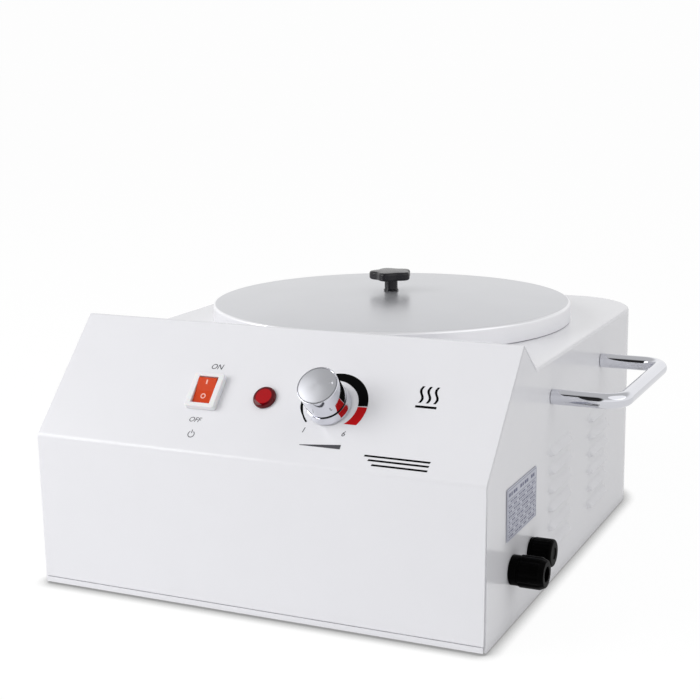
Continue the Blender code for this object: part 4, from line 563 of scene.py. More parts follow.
FINISH_OF_SLOT = {
    # Powder enamel on steel: even white, semi-gloss, with a very shallow orange peel about a millimetre across
    "white_enamel": plain("white powder enamel", "enamel", 0.19, grain=1.1, height=0.0016, tint=0.008, gloss=0.02),
    "satin_aluminium": lid_metal,
    # Spun aluminium of a bucket: brighter than the lid, with plain tool rings
    "spun_aluminium": lambda: spun("spun aluminium", linear("#D8D8DB"), 0.26, (0, POT_Y, 0), 0, 0.6, 0.0012),
    # Polished chrome plate: near mirror, cool, with barely visible handling marks
    "chrome": plain("polished chrome plate", "chrome", 0.06, 1.0, grain=3.0, tint=0.02, gloss=0.02),
    # Moulded white nylon: as white as the enamel, with a lower sheen from a fine spark-eroded mould
    "white_plastic": plain(
        "white moulded nylon",
        "#F0F0F2",
        0.32,
        grain=0.35,
        height=0.002,
        tint=0.01,
        subsurface_weight=0.15,
        subsurface_scale=0.001,
    ),
    # Tinted polycarbonate: satin orange-red with hardly a highlight
    "orange_plastic": plain(
        "orange polycarbonate", "rocker", 0.26, grain=2.0, tint=0.06, gloss=0.03, specular_ior_level=0.12
    ),
    "red_lens": lens_plastic,
    # Moulded glass-filled nylon: almost black, low sheen, fine grain
    "black_nylon": plain(
        "black moulded nylon", "#010101", 0.42, grain=0.4, height=0.004, tint=0.2, specular_ior_level=0.03
    ),
    # Pressed phenolic: hard, dark grey-black and glossy
    "black_gloss": plain(
        "black pressed phenolic", "#1A1A1F", 0.24, grain=1.5, tint=0.15, gloss=0.03, specular_ior_level=0.35
    ),
    # Zinc-plated steel: dull silver with a faint spangle
    "zinc": plain("zinc plated steel", "#C2C4C6", 0.36, 1.0, grain=2.5, height=0.002, tint=0.10),
    # Needled mineral wool: matt, cream, rough all over
    "mineral_wool": plain("needled mineral wool", "#D9D3BC", 0.95, grain=1.2, height=0.25, tint=0.2),
    # Moulded rubber: matt dark grey
    "rubber": plain("moulded rubber", "#232325", 0.78, grain=0.6, height=0.01, tint=0.15),
    # Pressed bakelite: dark brown with a dull gloss
    "bakelite": plain("pressed bakelite", "#2B201A", 0.42, grain=0.8, height=0.003, tint=0.25),
    # Turned brass: yellow metal, lightly tarnished
    "brass": plain("turned brass", "#C9A65A", 0.28, 1.0, grain=0.8, height=0.001, tint=0.10),
    # Drawn copper: reddish metal, dulled in the air
    "copper": plain("drawn copper", "#C07A58", 0.34, 1.0, grain=0.8, height=0.001, tint=0.15),
    # Fuse glass: clear tube
    "glass": plain("clear fuse glass", "#EEF4F4", 0.04, grain=4.0, tint=0.02, gloss=0.01, transmission_weight=0.9),
    # Heat-proof wire sleeves: plain coloured silicone rubber
    "blue_wire": plain("blue silicone sleeve", "#1F4FA0", 0.5, grain=0.5, height=0.004),
    "brown_wire": plain("brown silicone sleeve", "#5A3320", 0.5, grain=0.5, height=0.004),
}


def seen_rays(tree):
    """One for camera, glossy and transmission rays, nought for the diffuse rays that carry light."""
    path = add_node(tree, "ShaderNodeLightPath").outputs
    links = {0: path["Is Camera Ray"], 1: path["Is Glossy Ray"]}
    either = add_node(tree, "ShaderNodeMath", None, links, operation="MAXIMUM").outputs[0]
    links = {0: either, 1: path["Is Transmission Ray"]}
    return add_node(tree, "ShaderNodeMath", None, links, operation="MAXIMUM").outputs[0]


class HeaterOperator:
    """Shared settings of the operators."""

    bl_options = {"REGISTER", "UNDO"}


class WAXHEATER_OT_console(HeaterOperator, bpy.types.Operator):
    """Front, sloping panel and ridge, folded from one sheet"""

    bl_idname = "waxheater.console"
    bl_label = "Console panel"

    def execute(self, context):
        # Three squares of the slope's grid are left out, one for each control, and a ring patch fills each
        cell, steps, bend_steps, rings = 0.016, 16, 10, 6
        corners = [(0, PANEL_LOW), *FOLD, (VALLEY_RUN - LAP, DECK_TOP + LAP)]
        path = rounded(corners, (FRONT_BEND, RIDGE_BEND), bend_steps)
        first = bend_steps + 2
        lines = CONTROL_V + np.linspace(-cell, cell, steps + 1)
        slope_rows = np.array(FOLD[0]) + lines[:, None] * SLOPE_VECTOR / SLOPE_LENGTH
        path = np.vstack([path[:first], slope_rows, path[first:]])
        centres = np.array([SWITCH_X, LAMP_X, KNOB_X])
        across = (centres[:, None] + np.linspace(-cell, cell, steps + 1)).ravel()
        across = np.concatenate([[-HALF_WIDTH], across, [HALF_WIDTH]])
        # The upright front stops short of the walls by a reveal, which closes over the bend
        reveal = 0.0011 * (path[:, 1:] < FRONT_HEIGHT - FRONT_BEND / 2)
        spread = across * (1 - reveal / HALF_WIDTH * (np.abs(across) == HALF_WIDTH))
        points, faces = surface(spread, path[:, :1] - REAR, path[:, 1:])
        faces = faces.reshape(len(path) - 1, len(across) - 1, 4)
        keep = np.ones(faces.shape[:2], bool)
        columns = (1 + np.arange(3)[:, None] * (steps + 1) + np.arange(steps)).ravel()
        keep[first : first + steps, columns] = False
        parts = [(points, faces[keep])]
        side = np.linspace(-1, 1, steps + 1)[:-1]
        one = np.ones(steps)
        square = np.vstack([np.column_stack(c) for c in ((side, -one), (one, side), (-side, one), (-one, -side))])
        circle = square / np.linalg.norm(square, axis=1, keepdims=True)
        # Holes for the switch's body, the lamp's body and the thermostat's neck
        holes = (square * (0.00955, 0.0113), circle * 0.0065, circle * 0.0052 + (0, KNOB_V - CONTROL_V))
        share = np.linspace(0, 1, rings)[:, None, None]
        for x, hole in zip(centres, holes):
            # Ring patch: each ring lies a share of the way from the square's side to the hole's edge
            flat = (1 - share) * cell * square + share * hole + (x, CONTROL_V)
            parts.append(moved(surface(flat[..., 0], flat[..., 1], 0.0, wrap=True), SLOPE))
        piece("console_skin", joined(parts), "housing", "white_enamel", ["console_panel"], thick=SHEET, bevel=0.0002)
        return {"FINISHED"}


class WAXHEATER_OT_walls(HeaterOperator, bpy.types.Operator):
    """Side walls with louvres, round rear corners and the deck, as one pressed skin"""

    bl_idname = "waxheater.walls"
    bl_label = "Walls and deck"

    def execute(self, context):
        edge, rise = sizes().edge_round, sizes().louvre_rise
        inset, start, side_end = SHEET + SEAT_GAP, VALLEY_RUN + LAP, DEPTH - REAR_CORNER
        flat_top = DECK_TOP - edge

        # Columns of the right wall: the first ones end under the console's sheet, the rest at the deck's edge.
        # Even columns between the louvres and along the rear keep the deck's hole round
        under = inset_path([(0, SKIRT_LOW), *FOLD, (VALLEY_RUN, DECK_TOP)], inset)
        fin = np.vstack([rounded(under, (FRONT_BEND - inset, RIDGE_BEND - inset), 8)[1:], (start, flat_top)])
        taper = 0.0045 * np.array([0, 0.12, 0.3, 0.5, 0.7, 0.88, 1.0])
        louvre_y = [first + np.concatenate([taper, LOUVRE_LENGTH - taper[::-1]]) for first in LOUVRE_STARTS]
        even = np.linspace(start, side_end, 40)[1:]
        along = np.concatenate([fin[:, 0], np.unique(np.concatenate([*louvre_y, even]))])
        turn = np.linspace(0, np.pi / 2, 19)[1:]
        round_off = np.column_stack([np.cos(turn), np.sin(turn)])
        corner = np.array([HALF_WIDTH - REAR_CORNER, REAR - REAR_CORNER]) + REAR_CORNER * round_off
        rear = np.column_stack([np.linspace(corner[-1, 0], -corner[-1, 0], 26), np.full(26, REAR)])[1:-1]
        # Plan, outward direction and top of every column, from the right wall's front round to the left one's
        mirror = np.array([-1.0, 1.0])
        plan = np.vstack([np.column_stack([np.full(len(along), HALF_WIDTH), along - REAR]), corner])
        plan = np.vstack([plan, rear, plan[::-1] * mirror])
        out = np.vstack([np.tile([1.0, 0.0], (len(along), 1)), round_off])
        out = np.vstack([out, np.tile([0.0, 1.0], (len(rear), 1)), out[::-1] * mirror])
        tops = np.full(len(plan), flat_top)
        tops[: len(fin)], tops[-len(fin) :] = fin[:, 1], fin[::-1, 1]
        stretch = (tops - SKIRT_LOW) / (flat_top - SKIRT_LOW)

        # A louvre's lip: rise times (1 - height share) ** 1.4 up the wall, eased to nothing at its two ends
        reach = (plan[:, 1] + REAR)[:, None] - LOUVRE_STARTS
        near = np.clip(np.minimum(reach, LOUVRE_LENGTH - reach) / taper[-1], 0, 1)
        ends = (np.sin(near * np.pi / 2) ** 1.3).sum(1)
        lips = (LOUVRE_TOP - LOUVRE_PITCH * np.arange(LOUVRE_ROWS))[::-1]
        share = np.linspace(0, 1, 9)
        parts = []
        for low, high in zip([SKIRT_LOW, *lips], [*lips, flat_top]):
            # One band of wall from a louvre's lip to the next. The lip's slit stays open between two bands
            pressed = low > SKIRT_LOW
            rows = np.concatenate([low + LOUVRE_HEIGHT * share if pressed else [low], [high]])
            press = np.concatenate([(1 - share) ** 1.4 if pressed else [0.0], [0.0]])
            shift = rise * press[:, None] * ends
            height = SKIRT_LOW + (rows[:, None] - SKIRT_LOW) * stretch
            parts.append(surface(plan[:, 0] + shift * out[:, 0], plan[:, 1] + shift * out[:, 1], height))

        # The folded edge: inset edge (1 - cos a), height flat_top + edge sin a
        above = np.flatnonzero(tops == flat_top)
        rim, rim_out = plan[above[0] : above[-1] + 1], out[above[0] : above[-1] + 1]
        angle = np.linspace(0, np.pi / 2, 9)
        flat = rim - (edge * (1 - np.cos(angle)))[:, None, None] * rim_out
        parts.append(surface(flat[..., 0], flat[..., 1], (flat_top + edge * np.sin(angle))[:, None]))

        # The deck: rays from the pot's axis, a share of the way from the outline to the hole
        outline = flat[-1]
        outline = np.vstack([outline, np.linspace(outline[-1], outline[0], 24)[1:-1]])
        ray = outline - (0, POT_Y)
        hole = np.array([0, POT_Y]) + DECK_HOLE * ray / np.linalg.norm(ray, axis=1, keepdims=True)
        flat = outline + np.linspace(0, 1, 6)[:, None, None] * (hole - outline)
        parts.append(surface(flat[..., 0], flat[..., 1], DECK_TOP, wrap=True))
        nodes = ["side_wrap", "top_deck"]
        piece("wall_and_deck_skin", joined(parts), "housing", "white_enamel", nodes, thick=SHEET)
        return {"FINISHED"}


class WAXHEATER_OT_lid(HeaterOperator, bpy.types.Operator):
    """Domed lid with its plain rim"""

    bl_idname = "waxheater.lid"
    bl_label = "Lid"

    def execute(self, context):
        bend, hole, rim_height, crown = sizes().lid_edge, 0.0022, 0.0131, 0.0065
        radius = np.linspace(hole, LID_RADIUS - bend, 40)
        # Dome: height = edge + crown (1 - (r / R) squared)
        outer = np.column_stack([radius, LID_LOW.z + rim_height + crown * (1 - (radius / LID_RADIUS) ** 2)])
        centre = outer[-1] - (0, bend)
        inner, low, high = LID_RADIUS - SHEET, LID_LOW.z, centre[1]
        hem = rounded([(LID_RADIUS, high), (LID_RADIUS, low), (inner, low), (inner, high)], 0.0004, 4)
        top_bend, under_bend = arc(centre, bend, 90, 0, 12)[1:], arc(centre, bend - SHEET, 0, 90, 6)[1:-1]
        profile = np.vstack([outer, top_bend, hem, under_bend, (outer - (0, SHEET))[::-1]])
        piece("lid_dome", turned(profile, 256, closed=True), "lid", "satin_aluminium", ["lid"], POT_AXIS)
        return {"FINISHED"}


class WAXHEATER_OT_lid_knob(HeaterOperator, bpy.types.Operator):
    """Lobed knob of the lid, and its stem"""

    bl_idname = "waxheater.lid_knob"
    bl_label = "Lid knob"

    def execute(self, context):
        low, high = (corner.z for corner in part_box("lid_knob"))
        depth, radius, ease, crown, turn = 0.0030, 0.0160, 0.0018, 0.0003, np.radians(56.7)
        angle = np.linspace(0, 2 * np.pi, 144, endpoint=False)
        # Plan: r = middle + depth / 2 cos(lobes (a - turn)), moved in by the edge's quarter circle
        wave = radius - depth / 2 + depth / 2 * np.cos(sizes().knob_lobes * (angle - turn))
        bend = np.linspace(0, np.pi / 2, 7)
        inset, lift = ease * (1 - np.sin(bend)), ease * (1 - np.cos(bend))
        side = np.concatenate([inset, inset[::-1]])
        height = np.concatenate([low + lift, high - lift[::-1] - crown])
        rings = wave[None, :] - side[:, None]
        inner = np.array([0.75, 0.5, 0.25, 0.0])
        rings = np.vstack([rings[0] * inner[::-1, None], rings, rings[-1] * inner[:, None]])
        # The top is a very flat dome: height = high - crown (1 - sqrt(1 - share squared))
        height = np.concatenate([np.full(4, low), height, high - crown * (1 - np.sqrt(1 - inner**2))])
        head = polar(rings, angle, height[:, None], wrap=True)
        piece("lid_knob_head", head, "lid", "black_gloss", ["lid_knob"], POT_AXIS)
        foot, top = (corner.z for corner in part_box("lid_knob_stem"))
        bore, neck = 0.0022, 0.0048
        corners = [(bore, foot), (0.0058, foot), (neck, foot + 0.0016), (neck, top), (bore, top)]
        stem = turned(rounded(corners, (0.0003, 0.001, 0.0002), 5), 64, closed=True)
        piece("lid_knob_neck", stem, "lid", "black_gloss", ["lid_knob_stem"], POT_AXIS)
        return {"FINISHED"}


class WAXHEATER_OT_pot(HeaterOperator, bpy.types.Operator):
    """Wax pot, and the well that it hangs in"""

    bl_idname = "waxheater.pot"
    bl_label = "Pot and well"

    def execute(self, context):
        radius, wall, bend, flange, bead = 0.119, 0.0015, 0.010, 0.129, 0.0022
        low, rim = POT_LOW.z, POT_HIGH.z
        seat, rest = DECK_TOP + SEAT_GAP, DECK_TOP + SEAT_GAP + wall
        inner = radius - wall
        ledge = [(radius, seat - 0.002), (radius, seat), (flange, seat), (flange, rest), (radius, rest)]
        ledge.append((radius, rim - 2 * bead))
        profile = [
            [(0, low)],
            arc((radius - bend, low + bend), bend, -90, 0, 12),
            rounded(ledge, (0.0005, 0.0005, 0.0005, 0.0008), 4),
            arc((radius, rim - bead), bead, -90, 90, 12),
            [(inner, rim)],
            arc((inner - bend + wall, low + bend), bend - wall, 0, -90, 12),
            [(0, low + wall)],
        ]
        piece("pot_bucket", turned(np.vstack(profile)), "pot", "spun_aluminium", ["wax_pot"], POT_AXIS)
        lip, well, low, top = 0.110, 0.1225, WELL_LOW.z, WELL_HIGH.z
        drum = well + SHEET
        shoulder, under = drum + 0.0095, top - SHEET
        corners = [(lip, low), (drum, low), (drum, under), (shoulder, under), (shoulder, top), (well, top)]
        corners += [(well, low + SHEET), (lip, low + SHEET)]
        drum = closed_ring(corners, (0.0003, 0.001, 0.0004, 0.0003, 0.0003, 0.001, 0.0004, 0.0003), 4)
        piece("well_drum", drum, "housing", "zinc", ["heat_well"], POT_AXIS)
        return {"FINISHED"}


class WAXHEATER_OT_switch(HeaterOperator, bpy.types.Operator):
    """Rocker switch: bezel and body, rocker, and its on and off marks"""

    bl_idname = "waxheater.switch"
    bl_label = "Rocker switch"

    def execute(self, context):
        top, floor, back = 0.0042, -0.011, -0.024
        bezel, opening = (0.0216, 0.0250, 0.0016), (0.0137, 0.0194, 0.0004)
        none, body = rounded_rectangle(0, 0, 0), rounded_rectangle(0.0185, 0.0220, 0.0008)
        rows = [(none, back), (body, back), (body, SEAT_GAP), (rounded_rectangle(*bezel), SEAT_GAP)]
        rows += eased_rows(*bezel, top, 0.0007) + eased_rows(*opening, top, 0.0003, opening=True)
        rows += [(rounded_rectangle(*opening), floor), (none, floor)]
        place = on_slope(SWITCH_X, CONTROL_V)
        piece("switch_bezel", stacked(rows), "housing", "white_plastic", ["switch_body"], place)

        # Rocker: side view (v, height), with the two faces meeting in a shallow valley and ends on one circle
        end, crest, half, ease = 0.0094, 0.0025, 0.0067, 0.0005
        tip = end * np.array([np.cos(np.radians(18)), np.sin(np.radians(18))])
        low = -end * np.sin(np.radians(22))
        side = arc((0, 0), end, 14, -22, 8)
        upper = rounded([(tip[0] * -0.5, (crest + tip[1]) / 2), (0, crest), tip, side[0]], (0.004, 0.0007), 6)
        outline = np.vstack([upper[upper[:, 0] >= 0], side])
        outline = np.vstack([outline, outline[::-1] * (-1, 1)])
        middle = np.array([0, (crest + low) / 2])
        # Its two flanks: half the width less ease (1 - cos a), where the outline shrinks by ease (1 - sin a)
        bend = np.linspace(0, np.pi / 2, 5)
        flank = np.concatenate([[half], half - ease * (1 - np.cos(bend))])
        shrink = np.concatenate([[0], 1 - ease / end * (1 - np.sin(bend))])
        across, shrink = np.concatenate([-flank, flank[::-1]]), np.concatenate([shrink, shrink[::-1]])
        loops = middle + shrink[:, None, None] * (outline - middle)
        rocker = surface(across[:, None], loops[..., 0], loops[..., 1], wrap=True)
        place = on_slope(SWITCH_X, CONTROL_V, 0.0006) @ Matrix.Rotation(np.radians(9), 4, "X")
        piece("rocker_button", rocker, "rocker", "orange_plastic", ["switch_rocker"], place)

        # Marks: a bar on the raised half and a ring on the lower half, printed on the sloping faces
        slant = np.arctan2(tip[1] - crest, tip[0])
        white = ink("white print", linear("#FFC9BC"))
        for name, sign, v, shape in (
            ("mark_bar", 1, 0.0060, sheet_patch(-0.0005, 0.0005, -0.0015, 0.0015)),
            ("mark_ring", -1, -0.0037, sector(0.0011, 0.0018, 0, 360, 48)),
        ):
            spot = place @ Matrix.Translation((0, v, crest + abs(v) * np.tan(slant) + INK))
            printed(name, shape, spot @ Matrix.Rotation(sign * slant, 4, "X"), white, "rocker", "white_plastic")
        return {"FINISHED"}


class WAXHEATER_OT_lamp(HeaterOperator, bpy.types.Operator):
    """Red lens of the indicator lamp"""

    bl_idname = "waxheater.lamp"
    bl_label = "Lamp lens"

    def execute(self, context):
        corners = [(0, SEAT_GAP), (0.0076, SEAT_GAP), (0.0076, 0.0026), (0.0050, 0.0029), (0, 0.0031)]
        lens = turned(rounded(corners, (0.0001, 0.0018, 0.0004), 8), 96)
        piece("lamp_dome", lens, "housing", "red_lens", ["lamp_lens"], on_slope(LAMP_X, CONTROL_V))
        return {"FINISHED"}


class WAXHEATER_OT_knob(HeaterOperator, bpy.types.Operator):
    """Thermostat knob: chromed shell with a flared skirt, and its brushed face with a pointer dimple"""

    bl_idname = "waxheater.knob"
    bl_label = "Thermostat knob"

    def execute(self, context):
        lift, top, radius, skirt, brow = 0.0008, 0.0241, 0.0131, 0.0142, 0.0136
        skirt_low, skirt_top, recess, groove = lift + 0.0014, 0.0072, 0.0125, 0.0122
        hollow, hollow_top, shelf, brow_top = 0.010, 0.0064, top - 0.0012, skirt_top + 0.0013
        share = np.linspace(0, 1, 16)
        # Flare: the radius grows with the square of the way down the skirt
        flare = np.column_stack([brow + (skirt - brow) * (1 - share) ** 2, skirt_low + (skirt_top - skirt_low) * share])
        step = [(groove, skirt_top + 0.0002), (groove, brow_top), (radius, brow_top)]
        foot = rounded([(hollow, lift), (skirt, lift), (skirt, skirt_low)], 0.0004, 4)[:-1]
        rim = rounded([(radius, top - 0.003), (radius, top), (recess, top), (recess, shelf)], (0.0003, 0.0001), 6)
        inside = [(0, shelf), (0, hollow_top), (hollow, hollow_top), (hollow, lift)]
        place = on_slope(KNOB_X, KNOB_V)
        shell = turned(np.vstack([foot, flare, step, rim, inside]), 128)
        piece("knob_shell", shell, "knob", "chrome", ["thermostat_knob"], place)

        # Black ring in the groove over the skirt: painted shade, a dark ring that stands in for the groove's shade and
        # dark reflection
        inner, outer, low, high = groove + 0.0001, groove + 0.0006, skirt_top + 0.0003, skirt_top + 0.0012
        groove_shade = turned([(inner, low), (outer, low), (outer, high), (inner, high)], 128, closed=True)
        piece("knob_seal", groove_shade, "knob", "black_nylon", place=place)

        # Face: a spherical cap less a round dimple, height = base + sqrt(B^2 - r^2) - depth (1 - (d / w)^2)^2
        face, dome, depth, width, steps = 0.0121, 0.0016, 0.0005, 0.0017, 160
        pointer, pointer_turn = 0.0088, np.radians(12.5)
        ball = (face**2 + dome**2) / (2 * dome)
        rings, angle = face * np.linspace(0, 1, 48)[::-1, None], np.linspace(0, 2 * np.pi, steps, endpoint=False)
        x, y = rings * np.cos(angle), rings * np.sin(angle)
        away = np.hypot(x - pointer * np.cos(pointer_turn), y - pointer * np.sin(pointer_turn))
        dimple = depth * np.clip(1 - (away / width) ** 2, 0, 1) ** 2
        cap = surface(x, y, top + dome - ball + np.sqrt(ball**2 - x**2 - y**2) - dimple, wrap=True)
        base = turned([(0, top - 0.0010), (face, top - 0.0010), (face, top)], steps)
        # Spun aluminium with a fine brushed lay round the middle: a grey disc with a fan of light
        centre = tuple(place.translation)
        brushed = spun("spun satin knob face", linear("#CACBD0"), 0.50, centre, SLOPE_ANGLE, 0.25, 0.0006, 0.2)
        piece("knob_face", joined([cap, base]), "knob", "satin_aluminium", ["knob_cap"], place, brushed)
        return {"FINISHED"}


class WAXHEATER_OT_print(HeaterOperator, bpy.types.Operator):
    """Print on the panel: dial band, dial numbers, ON and OFF, stripes, and plain heat, power and range signs"""

    bl_idname = "waxheater.print"
    bl_label = "Panel print"

    def execute(self, context):
        black, red = ink("black panel ink", colours().ink), ink("red panel ink", colours().dial_red)
        grey = ink("grey panel ink", linear("#55555A"))
        inner, outer = sizes().dial_inner, sizes().dial_outer
        dial = on_slope(DIAL_X, DIAL_V, INK)
        # Black band: from its full width at the red end it narrows to a thin line at the low end
        angle = np.linspace(3, 224, 97)
        outside = outer - np.interp(angle, (3, 140, 191, 208, 224), (0, 0, 0.0010, 0.0023, 0.0026))
        inside = (inner, inner, inner + 0.00151066, outer - 0.0022, outer - 0.0038)
        inside = np.interp(angle, (3, 60, 110, 170, 224), inside)
        radius = inside + (outside - inside) * np.linspace(0, 1, 4)[:, None]
        printed("dial_black_band", polar(radius, np.radians(angle), 0.0), dial, black)
        # Red band: its low end is cut level, so each ring ends at minus arcsin(cut / radius)
        cut = 0.0123
        ends = -np.degrees(np.arcsin(cut / np.linspace(inner, outer, 4)))
        printed("dial_red_band", sector(inner, outer, 1.2, ends), dial, red, slot="red_lens")

        height = sizes().letter_height
        for name, text, x, v, scale in (
            ("print_on", "ON", -0.0432, 0.0626, 1.0),
            ("print_off", "OFF", -0.0448, 0.0231, 0.9),
            ("print_low", "1", 0.0312, 0.0240, 0.95),
            ("print_high", "6", 0.0580, 0.0242, 0.95),
        ):
            lettering(name, text, height * scale, on_slope(x, v, INK), grey)
        stripes = ((0.0756, 0.1176, 0.0115), (0.0787, 0.1174, 0.0088), (0.0818, 0.1172, 0.0058))
        for count, (x0, x1, v) in enumerate(stripes, 1):
            stripe = sheet_patch(x0, x1, v - 0.0006, v + 0.0006, 0.0004, INK)
            printed(f"print_stripe_{count}", stripe, SLOPE, black)

        # Heat sign: three rising waves over a bar, x = w sin(2 pi v / length)
        rise = np.linspace(-0.0050, 0.0066, 41)
        wave = 0.0011 * np.sin((rise - rise[0]) / (rise[-1] - rise[0]) * 2 * np.pi)
        parts = [sheet_patch(-0.0068, 0.0068, -0.0084, -0.0068)]
        for x in (-0.0048, 0.0, 0.0048):
            parts.append(surface(x + wave + np.array([[-0.0008], [0.0008]]), rise, 0.0))
        printed("heat_sign", joined(parts), on_slope(0.105, 0.0555, INK), black)

        # Power sign: an open ring and a bar. Heat range: a wedge that rises to the right
        parts = [sector(0.0019, 0.0024, 122, 418, 48, 2), sheet_patch(-0.00025, 0.00025, 0.0008, 0.0032)]
        printed("power_sign", joined(parts), on_slope(-0.0435, 0.0128, INK), grey)
        wedge = np.array([(-0.0135, -0.0013, 0), (0.0135, -0.0013, 0), (-0.0135, -0.0009, 0), (0.0135, 0.0017, 0)])
        printed("range_wedge", (wedge, grid(2, 2)), on_slope(0.0455, 0.0150, INK), grey)
        return {"FINISHED"}


class WAXHEATER_OT_plate(HeaterOperator, bpy.types.Operator):
    """Rating plate with ruled lines and no words"""

    bl_idname = "waxheater.plate"
    bl_label = "Rating plate"

    def execute(self, context):
        low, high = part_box("rating_plate")
        length, height, thick = high.y - low.y, high.z - low.z, high.x - low.x
        place = Matrix.Translation((low.x, (low.y + high.y) / 2, (low.z + high.z) / 2)) @ WALL_TURN
        corner, none = 0.001, rounded_rectangle(0, 0, 0)
        rows = [(none, 0), (rounded_rectangle(height, length, corner), 0)]
        rows += eased_rows(height, length, corner, thick, 0.0001) + [(none, thick)]
        # Brushed aluminium foil: pale grey, satin
        foil = grained("brushed plate aluminium", linear("#C6C8D4"), 0.42, 0.5, grain=0.5, height=0.002, tint=0.04)
        piece("plate_sheet", stacked(rows), "housing", "satin_aluminium", ["rating_plate"], place, foil)
        # The place's x runs down the wall. A frame, a heading of tall marks, and ruled rows of short marks, whose
        # ends come from a low-discrepancy series: the fraction of the count times the golden ratio
        layer, edge, half, line = 0.00003, height / 2 - 0.001, length / 2 - 0.001, 0.00013
        rows = np.linspace(-edge, edge, 11)
        rules = [sheet_patch(x - line, x + line, -half, half) for x in (-edge, edge)]
        rules += [sheet_patch(-edge, edge, y - line, y + line) for y in (-half, half)]
        rules += [sheet_patch(x - line, x + line, -half, half) for x in rows[2:-1]]
        marks = [(rows[1], 0.0011, 12)] + [(x, 0.0005, 16) for x in (rows[2:-1] + rows[3:]) / 2]
        count = 0
        for x, tall, cells in marks:
            # The marks keep clear of the frame at both ends
            ends = half * np.linspace(-0.92, 0.92, cells + 1)
            for start, stop in zip(ends[:-1], ends[1:]):
                count += 1
                part = count * 0.618034 % 1
                if part > 0.22:
                    rules.append(sheet_patch(x - tall, x + tall, start, start + (stop - start) * (0.45 + 0.4 * part)))
        slate = ink("slate plate ink", linear("#82849A"))
        printed("plate_rules", joined(rules), place @ Matrix.Translation((0, 0, thick + layer)), slate, thick=layer)
        return {"FINISHED"}


class WAXHEATER_OT_gland(HeaterOperator, bpy.types.Operator):
    """Cable gland: body through the wall and fluted dome nut"""

    bl_idname = "waxheater.gland"
    bl_label = "Cable gland"

    def execute(self, context):
        place = Matrix.Translation((HALF_WIDTH, GLAND_Y, FITTING_Z)) @ WALL_TURN
        bore, thread, flange, shoulder, neck, back = 0.0046, 0.0078, 0.0093, 0.0055, 0.0070, -0.0102
        spigot = shoulder + 0.0085
        corners = [(bore, back), (thread, back), (thread, SEAT_GAP), (flange, SEAT_GAP), (flange, shoulder)]
        corners += [(neck, shoulder), (neck, spigot), (bore, spigot)]
        piece("gland_base", closed_ring(corners, 0.0003, 3, 96), "housing", "black_nylon", ["cable_gland"], place)
        low, radius, inside, ledge = shoulder + SEAT_GAP, 0.0099, 0.0072, spigot + SEAT_GAP
        high = low + 0.0162
        corners = [(inside, low), (radius, low), (radius, high - 0.0034), (0.0082, high), (bore, high)]
        corners += [(bore, ledge), (inside, ledge)]
        nut = closed_ring(corners, (0.0003, 0.0004, 0.0016, 0.0008, 0.0006, 0.0002, 0.0002), 5, 144)
        nut = fluted(nut, 0.0090, radius, 0.05, 12, 3)
        piece("gland_dome_nut", nut, "housing", "black_nylon", ["gland_nut"], place)
        return {"FINISHED"}


class WAXHEATER_OT_fuse(HeaterOperator, bpy.types.Operator):
    """Fuse holder's flange and its ribbed cap"""

    bl_idname = "waxheater.fuse"
    bl_label = "Fuse holder"

    def execute(self, context):
        place = Matrix.Translation((HALF_WIDTH, FUSE_Y, FITTING_Z)) @ WALL_TURN
        low, flange, back, floor = SEAT_GAP, SEAT_GAP + 0.0020, -0.030, -0.0241
        barrel, wide, bore = 0.0062, 0.0086, 0.0031
        corners = [(0, back), (barrel, back), (barrel, low), (wide, low), (wide, flange), (bore, flange)]
        body = turned(rounded(corners + [(bore, floor), (0, floor)], 0.0002, 3), 96)
        piece("fuse_base", body, "housing", "black_nylon", ["fuse_holder"], place)
        foot, radius, pin, tail, dish = flange + SEAT_GAP, 0.0089, 0.0027, -0.0035, 0.0006
        top = foot + 0.0128
        corners = [(0, tail), (pin, tail), (pin, foot), (radius, foot), (radius, top), (0.0040, top)]
        corners += [(0.0034, top - dish), (0, top - dish)]
        grip = turned(rounded(corners, (0.0002, 0.0001, 0.0003, 0.0018, 0.0003, 0.0003), 6), 192)
        grip = fluted(grip, 0.0080, radius, 0.018, 24)
        piece("fuse_grip", grip, "fuse_cap", "black_nylon", ["fuse_cap"], place)
        return {"FINISHED"}


class WAXHEATER_OT_handles(HeaterOperator, bpy.types.Operator):
    """Bow handle of round chromed rod on each side wall"""

    bl_idname = "waxheater.handles"
    bl_label = "Handles"

    def execute(self, context):
        radius, bend, ease = 0.005, 0.014, 0.0002
        root, reach = HALF_WIDTH + SEAT_GAP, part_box("handle_right")[1].x - radius
        corners = np.array([(root, HANDLE_HALF), (reach, HANDLE_HALF), (reach, -HANDLE_HALF), (root, -HANDLE_HALF)])
        place = Matrix.Translation((0, 0, HANDLE_Z))
        for side, name in ((1, "right"), (-1, "left")):
            bow = rod_along(rounded(corners * (side, 1), bend, 20), radius, 40, ease)
            piece(f"handle_bow_{name}", bow, "housing", "chrome", [f"handle_{name}"], place)
        return {"FINISHED"}


class WAXHEATER_OT_feet(HeaterOperator, bpy.types.Operator):
    """Four low rubber feet"""

    bl_idname = "waxheater.feet"
    bl_label = "Feet"

    def execute(self, context):
        bore, sink, sink_top, base, radius = 0.0022, 0.0041, 0.0023, 0.0088, 0.010
        for end in ("front_left", "front_right", "rear_left", "rear_right"):
            low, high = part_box(f"foot_{end}")
            middle, top = (low + high) / 2, high.z
            corners = [(sink, 0), (base, 0), (radius, top), (bore, top), (bore, sink_top), (sink, sink_top)]
            foot = closed_ring(corners, (0.0003, 0.0008, 0.0003, 0.0001, 0.0001, 0.0003), 4, 64)
            place = Matrix.Translation((middle.x, middle.y, 0))
            piece(f"foot_pad_{end}", foot, "housing", "rubber", [f"foot_{end}"], place)
        return {"FINISHED"}


